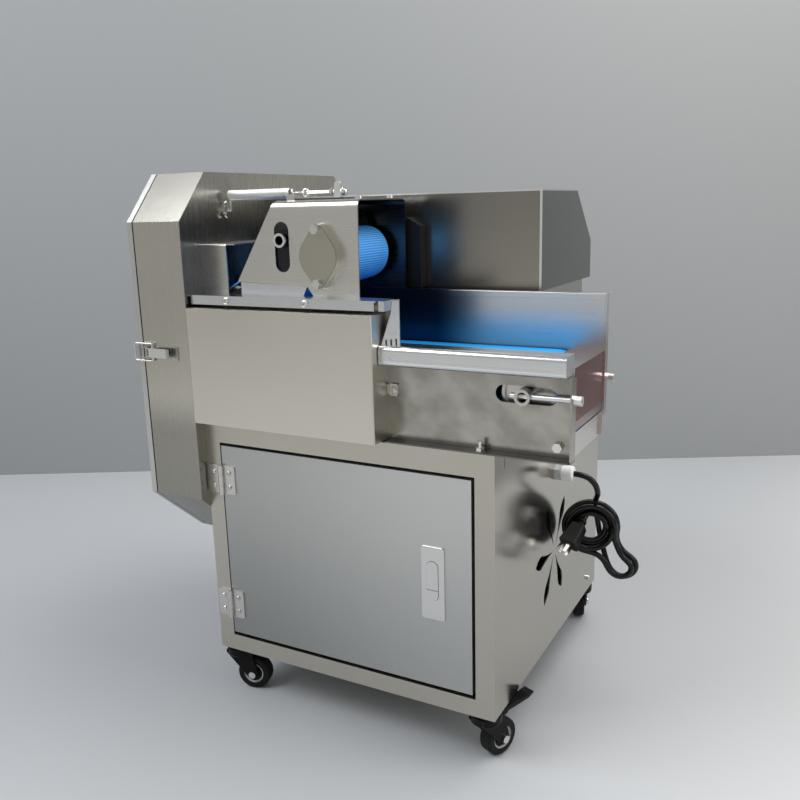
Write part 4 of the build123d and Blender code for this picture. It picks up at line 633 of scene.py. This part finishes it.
dress(turned_metal("turned_across", (0.60, 0.59, 0.57), 0.30, "y"), "drive_drum", "tail_axle", "tail_roller",
      "drive_shaft", "press_drum", "nose_roller", "reverse_gear")
dress(turned_metal("turned_along", (0.58, 0.57, 0.56), 0.30, "x"), "knife_shaft", "motor_pulley")
dress(plated_metal("zinc_plate", (0.80, 0.80, 0.79), 0.26), "frame_screws", "eye_bolt", "toggle_lever",
      "toggle_bail")
dress(plated_metal("spring_wire", (0.86, 0.87, 0.87), 0.42), "wound_spring")
screw_paint = plated_metal("takeup_steel", (0.09, 0.09, 0.09), 0.34)
HEADS_FROM = x_at(502)
screw_paint.tint(screw_paint.axis("X").above(HEADS_FROM), (0.80, 0.80, 0.79))
dress(screw_paint, "takeup_screws")
dress(plated_metal("hinge_steel", (0.66, 0.65, 0.62), 0.30), "door_hinge_leaves", "frame_hinge_leaves")
dress(brushed_steel("latch_steel", (0.70, 0.70, 0.69), 0.34, "z"), "latch_body", "latch_handle",
      "latch_button")
dress(brushed_steel("ground_blade", (0.70, 0.71, 0.72), 0.16, "y"), "knife_blades")
print("small metal dressed")

# %% [markdown]
# ## Cast and painted metal
# The bearing housings are steel castings with an even, slightly pebbled skin, and the faces of their
# caps are a little darker. The main motor is painted, the feed motor is left as cast aluminium. The
# guard beside the press belt is black powder coat.

# %% Castings and paint
def pebbled(name, colour, roughness, metallic=0.0, grain=900, lift=0.25):
    paint = Paint(name, colour, roughness, metallic)
    pebbles = paint.noise((grain, grain, grain), 2.0)
    blotch = paint.noise((12, 12, 12), 3.0)
    paint.plug("Base Color", paint.mix(blotch, tuple(c * 0.85 for c in colour),
                                       tuple(min(1, c * 1.12) for c in colour)))
    paint.plug("Roughness", roughness + (blotch - 0.5) * 0.12)
    return paint.bump(pebbles, lift, 0.0006)


housing_paint = pebbled("cast_housing", (0.66, 0.645, 0.59), 0.30, 1.0, 500, 0.08)
CAP_FACE = y_at(13.5)
housing_paint.tint(housing_paint.axis("Y").below(CAP_FACE), (0.44, 0.42, 0.36))
dress(housing_paint, "bearing_housings")
dress(pebbled("motor_enamel", (0.12, 0.16, 0.20), 0.38), "main_motor")
dress(pebbled("cast_aluminium", (0.52, 0.53, 0.54), 0.45, 0.9, 400), "feed_gearmotor")
dress(pebbled("black_powder", (0.004, 0.004, 0.005), 0.5), "press_guard")
print("castings dressed")

# %% [markdown]
# ## The belts
# The lower belt is smooth blue polyurethane with a soft shine: a broad cloud shifts its blue a little,
# and a very fine grain keeps its shine from looking like glass.

# %% Smooth belt
smooth_belt = Paint("belt_smooth_blue", (0.012, 0.21, 0.66), 0.45)
smooth_belt.plug("Specular IOR Level", 0.2)
belt_cloud = smooth_belt.noise((14, 14, 14), 3.0)
smooth_belt.plug("Base Color", smooth_belt.mix(belt_cloud, (0.010, 0.38, 0.92), (0.020, 0.44, 1.0)))
smooth_belt.plug("Roughness", 0.48 + belt_cloud * 0.14)
smooth_belt.bump(smooth_belt.noise((600, 600, 600), 2.0), 0.08, 0.0004)
dress(smooth_belt, "feed_belt")
print("smooth belt dressed")

# %% [markdown]
# The press belt is ribbed cloth with a blue skin: fine ribs lie across it, so it grips the vegetables.
# On the loop the ribs follow the belt round the drum, so their position comes from the angle about the
# drum where the belt is curved, and from the distance along it where it is flat. A wave across the
# width gives the weave.

# %% Ribbed belt
PRESS_DRUM = at(228, 0, 729)
DRUM_TURN_R = 0.036
RIB_PITCH = 0.0034
WEAVE_PITCH = 0.0026
FLAT_SLOPE = 1.12

ribbed = Paint("belt_ribbed_blue", (0.03, 0.24, 0.66), 0.5)
across_x = ribbed.axis("X") - PRESS_DRUM.x
across_z = ribbed.axis("Z") - PRESS_DRUM.z
angle = across_z.maths("ARCTAN2", across_z, across_x)
on_drum = across_x.above(-0.004)
travel = on_drum * angle * DRUM_TURN_R + (1 - on_drum) * (across_x * FLAT_SLOPE)
ribs = (travel * (math.tau / RIB_PITCH)).wave()
weave = (ribbed.axis("Y") * (math.tau / WEAVE_PITCH)).wave()
skin = ribs * 0.5 + 0.5
ribbed.plug("Base Color", ribbed.mix(skin * 0.75 + weave * 0.12 + 0.12, (0.01, 0.15, 0.50),
                                     (0.12, 0.48, 0.97)))
ribbed.plug("Roughness", 0.58 - skin * 0.18)
ribbed.bump(skin + weave * 0.3, 0.5, 0.0006)
dress(ribbed, "press_belt")
print("ribbed belt dressed")

# %% [markdown]
# ## Rubber and moulded plastic
# The lead is black rubber with a clear shine. The gasket and the drive belts are dull. The plug, the
# caster forks and the brake pedal are moulded plastic with a very fine grain. Black things look nearly
# flat black in the photograph, so their shine is turned down. The gland is grey nylon, paler at its
# outer end. The two buttons on the rear box are glossy, and the knob is black.
# The plug's pins are part of its CAD piece, so they are found by how far out they lie and made bright.

# %% Rubber and plastic
DARK_SHINE = 0.12


def from_point(paint, place, way):
    """How far a spot is from a place, and how far along a direction, as signals of this material."""
    here = paint.node("ShaderNodeTexCoord", out="Object")
    arm = paint.node("ShaderNodeVectorMath", {"operation": "SUBTRACT"}, {0: here, 1: tuple(place)})
    reach = paint.node("ShaderNodeVectorMath", {"operation": "LENGTH"}, {0: arm}, out="Value")
    along = paint.node("ShaderNodeVectorMath", {"operation": "DOT_PRODUCT"}, {0: arm, 1: tuple(way)},
                       out="Value")
    return reach, along


def moulded(name, colour, roughness, grain=1100, lift=0.12, **fixed):
    if max(colour) < 0.02:
        fixed.setdefault("Specular_IOR_Level", DARK_SHINE)
    paint = Paint(name, colour, roughness, **fixed)
    fine = paint.noise((grain, grain, grain), 2.0)
    broad = paint.noise((30, 30, 30), 2.0)
    paint.plug("Base Color", paint.mix(broad, tuple(c * 0.8 for c in colour),
                                       tuple(min(1, c * 1.2) for c in colour)))
    paint.plug("Roughness", roughness + (broad - 0.5) * 0.14 + (fine - 0.5) * 0.08)
    return paint.bump(fine, lift, 0.0003)


dress(moulded("lead_rubber", (0.003, 0.003, 0.0035), 0.16, Specular_IOR_Level=0.32), "power_lead")
plug_plastic = moulded("plug_plastic", (0.007, 0.007, 0.0075), 0.36, 700)
PINS_FROM = 0.0385
_, plug_reach = from_point(plug_plastic, PLUG_REAR, PLUG_WAY)
plug_plastic.bright_metal(plug_reach.above(PINS_FROM))
dress(plug_plastic, "plug")
dress(moulded("gasket_rubber", (0.008, 0.008, 0.008), 0.62), "hood_gasket")
dress(moulded("drive_rubber", (0.012, 0.012, 0.012), 0.6), "drive_belts")
gland_paint = moulded("gland_nylon", (0.62, 0.63, 0.62), 0.42)
OUTER_END = wall_x + 0.0105
outer_end = gland_paint.axis("X").above(OUTER_END)
gland_paint.plug("Base Color", gland_paint.mix(outer_end, (0.40, 0.41, 0.41), (0.78, 0.79, 0.80)))
dress(gland_paint, "cable_gland")
dress(moulded("knob_plastic", (0.01, 0.01, 0.01), 0.36), "feed_speed_knob")
dress(moulded("start_green", (0.02, 0.26, 0.07), 0.24, Coat_Weight=0.4), "start_button")
dress(moulded("stop_red", (0.52, 0.018, 0.014), 0.24, Coat_Weight=0.4), "stop_button")
dress(moulded("pedal_plastic", (0.006, 0.006, 0.0065), 0.34), "brake_pedal")
print("rubber and plastic dressed")

# %% [markdown]
# ## Casters
# Each wheel is black rubber with a thin pale ring on its hub, and its fork is black plastic with a
# plated axle through it. Both are one CAD piece each, so ring and axle are painted by their distance
# from the axle's line. The middle of the wheel comes from the wheel's box and the direction of its axle
# from the joint, so the ring stays round on a wheel that is turned to any angle.

# %% Casters
HUB_RING = (0.0150, 0.0176)
ARM_OUTSIDE = 0.0152
AXLE_HEAD_R = 0.0068


def round_axle(paint, middle, axle):
    """Distance from the axle's line and distance along it, for this material."""
    reach, along = from_point(paint, middle, axle)
    return (reach * reach - along * along).larger(0) ** 0.5, along


for corner_name in ("front_left", "front_right", "rear_left", "rear_right"):
    low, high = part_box("caster_wheel_" + corner_name)
    middle = (low + high) / 2
    joint = next(j for j in frame["joints"] if j["name"] == "roll_" + corner_name)
    axle = Vector(joint["axis"]).normalized()
    wheel = Paint("wheel_" + corner_name, (0.01, 0.01, 0.01), 0.48, Specular_IOR_Level=DARK_SHINE)
    radius, _ = round_axle(wheel, middle, axle)
    ring = radius.above(HUB_RING[0]) * radius.below(HUB_RING[1])
    scuff = wheel.noise((160, 160, 160), 4.0)
    rubber = wheel.mix(scuff, (0.004, 0.004, 0.0045), (0.016, 0.016, 0.0155))
    wheel.plug("Base Color", wheel.mix(ring, rubber, (0.50, 0.50, 0.49)))
    wheel.plug("Roughness", 0.34 + scuff * 0.2)
    wheel.bump(scuff, 0.12, 0.0004)
    dress(wheel, "caster_wheel_" + corner_name)
    fork = moulded("fork_" + corner_name, (0.006, 0.006, 0.0065), 0.30)
    radius, along = round_axle(fork, middle, axle)
    fork.bright_metal(radius.below(AXLE_HEAD_R) * along.size().above(ARM_OUTSIDE))
    dress(fork, "caster_fork_" + corner_name)
print("casters dressed")

# %% [markdown]
# ## Floor, wall and light
# The photograph stands in a plain studio: a pale floor, a mid-grey wall, and soft daylight from a
# large source above and to the left. The wall's foot is found by following two rays of the camera down
# to the floor, at the left and right edges of the picture.

# %% Where a ray of the camera meets the floor
PICTURE = 800
MIDDLE = PICTURE / 2


def floor_under(u, v):
    """Where the ray through a spot of the picture, in pixels, meets the floor."""
    focal = LENS_MM / SENSOR_MM * PICTURE
    ray = forward + right * ((u - MIDDLE) / focal) + down * ((v - MIDDLE) / focal)
    return CAMERA_AT + ray * (-CAMERA_AT.z / ray.z)


left_foot = floor_under(0, 475)
right_foot = floor_under(PICTURE, 455)
wall_way = (right_foot - left_foot).normalized()
print("wall foot", [round(x, 2) for x in left_foot], [round(x, 2) for x in right_foot])

# %% [markdown]
# Steel shows what is around it, so the room matters as much as the lamps. The floor goes on far behind
# the camera. It is painted paler towards the camera and to the right, as painted light, and the steel
# mirrors the palest part. The wall is painted a little lighter to the right and upwards, as painted light.
# The wall is a screen: it is clear from its back, so that the machine can be looked at from behind too,
# and the floor goes on under it.

# %% Floor and wall
def plane_piece(name, corners, paint):
    bm = bmesh.new()
    bm.faces.new([bm.verts.new(c) for c in corners])
    mesh = bpy.data.meshes.new(name)
    bm.to_mesh(mesh)
    bm.free()
    made = bpy.data.objects.new(name, mesh)
    bpy.context.scene.collection.objects.link(made)
    made.data.materials.append(paint.material)
    return made


away = Vector((0, 0, 1)).cross(wall_way)
WALL_PAST_VIEW, WALL_HEIGHT, FLOOR_IN_FRONT, FLOOR_BEHIND = 4, 4, 9, 5
PALER_TO_RIGHT, PALER_TO_FRONT = (0.25, 1.3), (-0.55, -2.3)
WALL_ACROSS, WALL_UP = (-2.2, 1.4), (-0.2, 1.9)
a = left_foot - wall_way * WALL_PAST_VIEW
b = right_foot + wall_way * WALL_PAST_VIEW

floor_paint = Paint("studio_floor", (0.40, 0.41, 0.43), 0.6)
floor_shade = floor_paint.noise((0.6, 0.6, 0.6), 2.0)
# Painted light: the floor is paler towards the camera and to the right.
to_right = floor_paint.between("X", *PALER_TO_RIGHT)
to_front = floor_paint.between("Y", *PALER_TO_FRONT)
pale = floor_paint.mix(floor_shade, (0.415, 0.43, 0.45), (0.475, 0.49, 0.51))
floor_lit_right = floor_paint.mix(to_right, pale, (0.69, 0.695, 0.70))
floor_paint.plug("Base Color", floor_paint.mix(to_front, floor_lit_right, (0.86, 0.85, 0.82)))

wall_paint = Paint("studio_wall", (0.30, 0.31, 0.32), 0.8)
# Painted light: the wall is a little lighter to the right and upwards.
wall_right = wall_paint.between("X", *WALL_ACROSS)
wall_up = wall_paint.between("Z", *WALL_UP)
wall_paint.plug("Base Color", wall_paint.mix(wall_right * 0.6 + wall_up * 0.4, (0.275, 0.288, 0.298),
                                             (0.315, 0.322, 0.326)))

from_behind = wall_paint.node("ShaderNodeNewGeometry", out="Backfacing")
clear_wall = wall_paint.node("ShaderNodeBsdfTransparent")
seen_wall = Signal(wall_paint, wall_paint.shader.outputs[0])
one_way = wall_paint.node("ShaderNodeMixShader", {}, {0: from_behind, 1: seen_wall, 2: clear_wall})
wall_output = next(n for n in wall_paint.tree.nodes if n.type == "OUTPUT_MATERIAL")
wall_paint.put(wall_output.inputs["Surface"], one_way)
behind, ahead, up = away * FLOOR_BEHIND, away * FLOOR_IN_FRONT, Vector((0, 0, WALL_HEIGHT))
plane_piece("floor", [a + behind, a - ahead, b - ahead, b + behind], floor_paint)
plane_piece("wall", [a, b, b + up, a + up], wall_paint)
print("floor and wall placed")

# %% [markdown]
# Three soft lamps light the room: a cool window high on the left, a large ceiling panel, and a weak
# warm fill from the right. Large lamps give the soft shadows of daylight. The world adds an even pale
# light from all sides, so that no panel shows black.

# %% Lamps and room
def soft_lamp(name, place, target, size, watts, colour=(1, 1, 1)):
    data = bpy.data.lights.new(name, "AREA")
    data.shape = "RECTANGLE"
    data.size, data.size_y = size
    data.energy = watts
    data.color = colour
    lamp = bpy.data.objects.new(name, data)
    way = (Vector(target) - Vector(place)).to_track_quat("-Z", "Y").to_matrix().to_4x4()
    lamp.matrix_world = Matrix.Translation(place) @ way
    bpy.context.scene.collection.objects.link(lamp)
    return lamp


soft_lamp("window", (-1.5, -1.6, 2.5), (0, 0, 0.4), (1.8, 1.4), 56, (0.93, 0.965, 1.0))
soft_lamp("ceiling", (0.9, 0.5, 2.6), (0, 0, 0.3), (1.6, 1.6), 45, (1.0, 0.99, 0.97))
soft_lamp("right_fill", (2.4, 0.2, 1.5), (0, 0, 0.4), (1.4, 1.6), 19, (1.0, 0.985, 0.96))

world = bpy.data.worlds.new("studio")
bpy.context.scene.world = world
world.use_nodes = True
sky = world.node_tree.nodes["Background"]
sky.inputs["Color"].default_value = (0.53, 0.525, 0.515, 1)
sky.inputs["Strength"].default_value = 0.84
bpy.context.scene.view_settings.view_transform = "Standard"
print("studio lit")
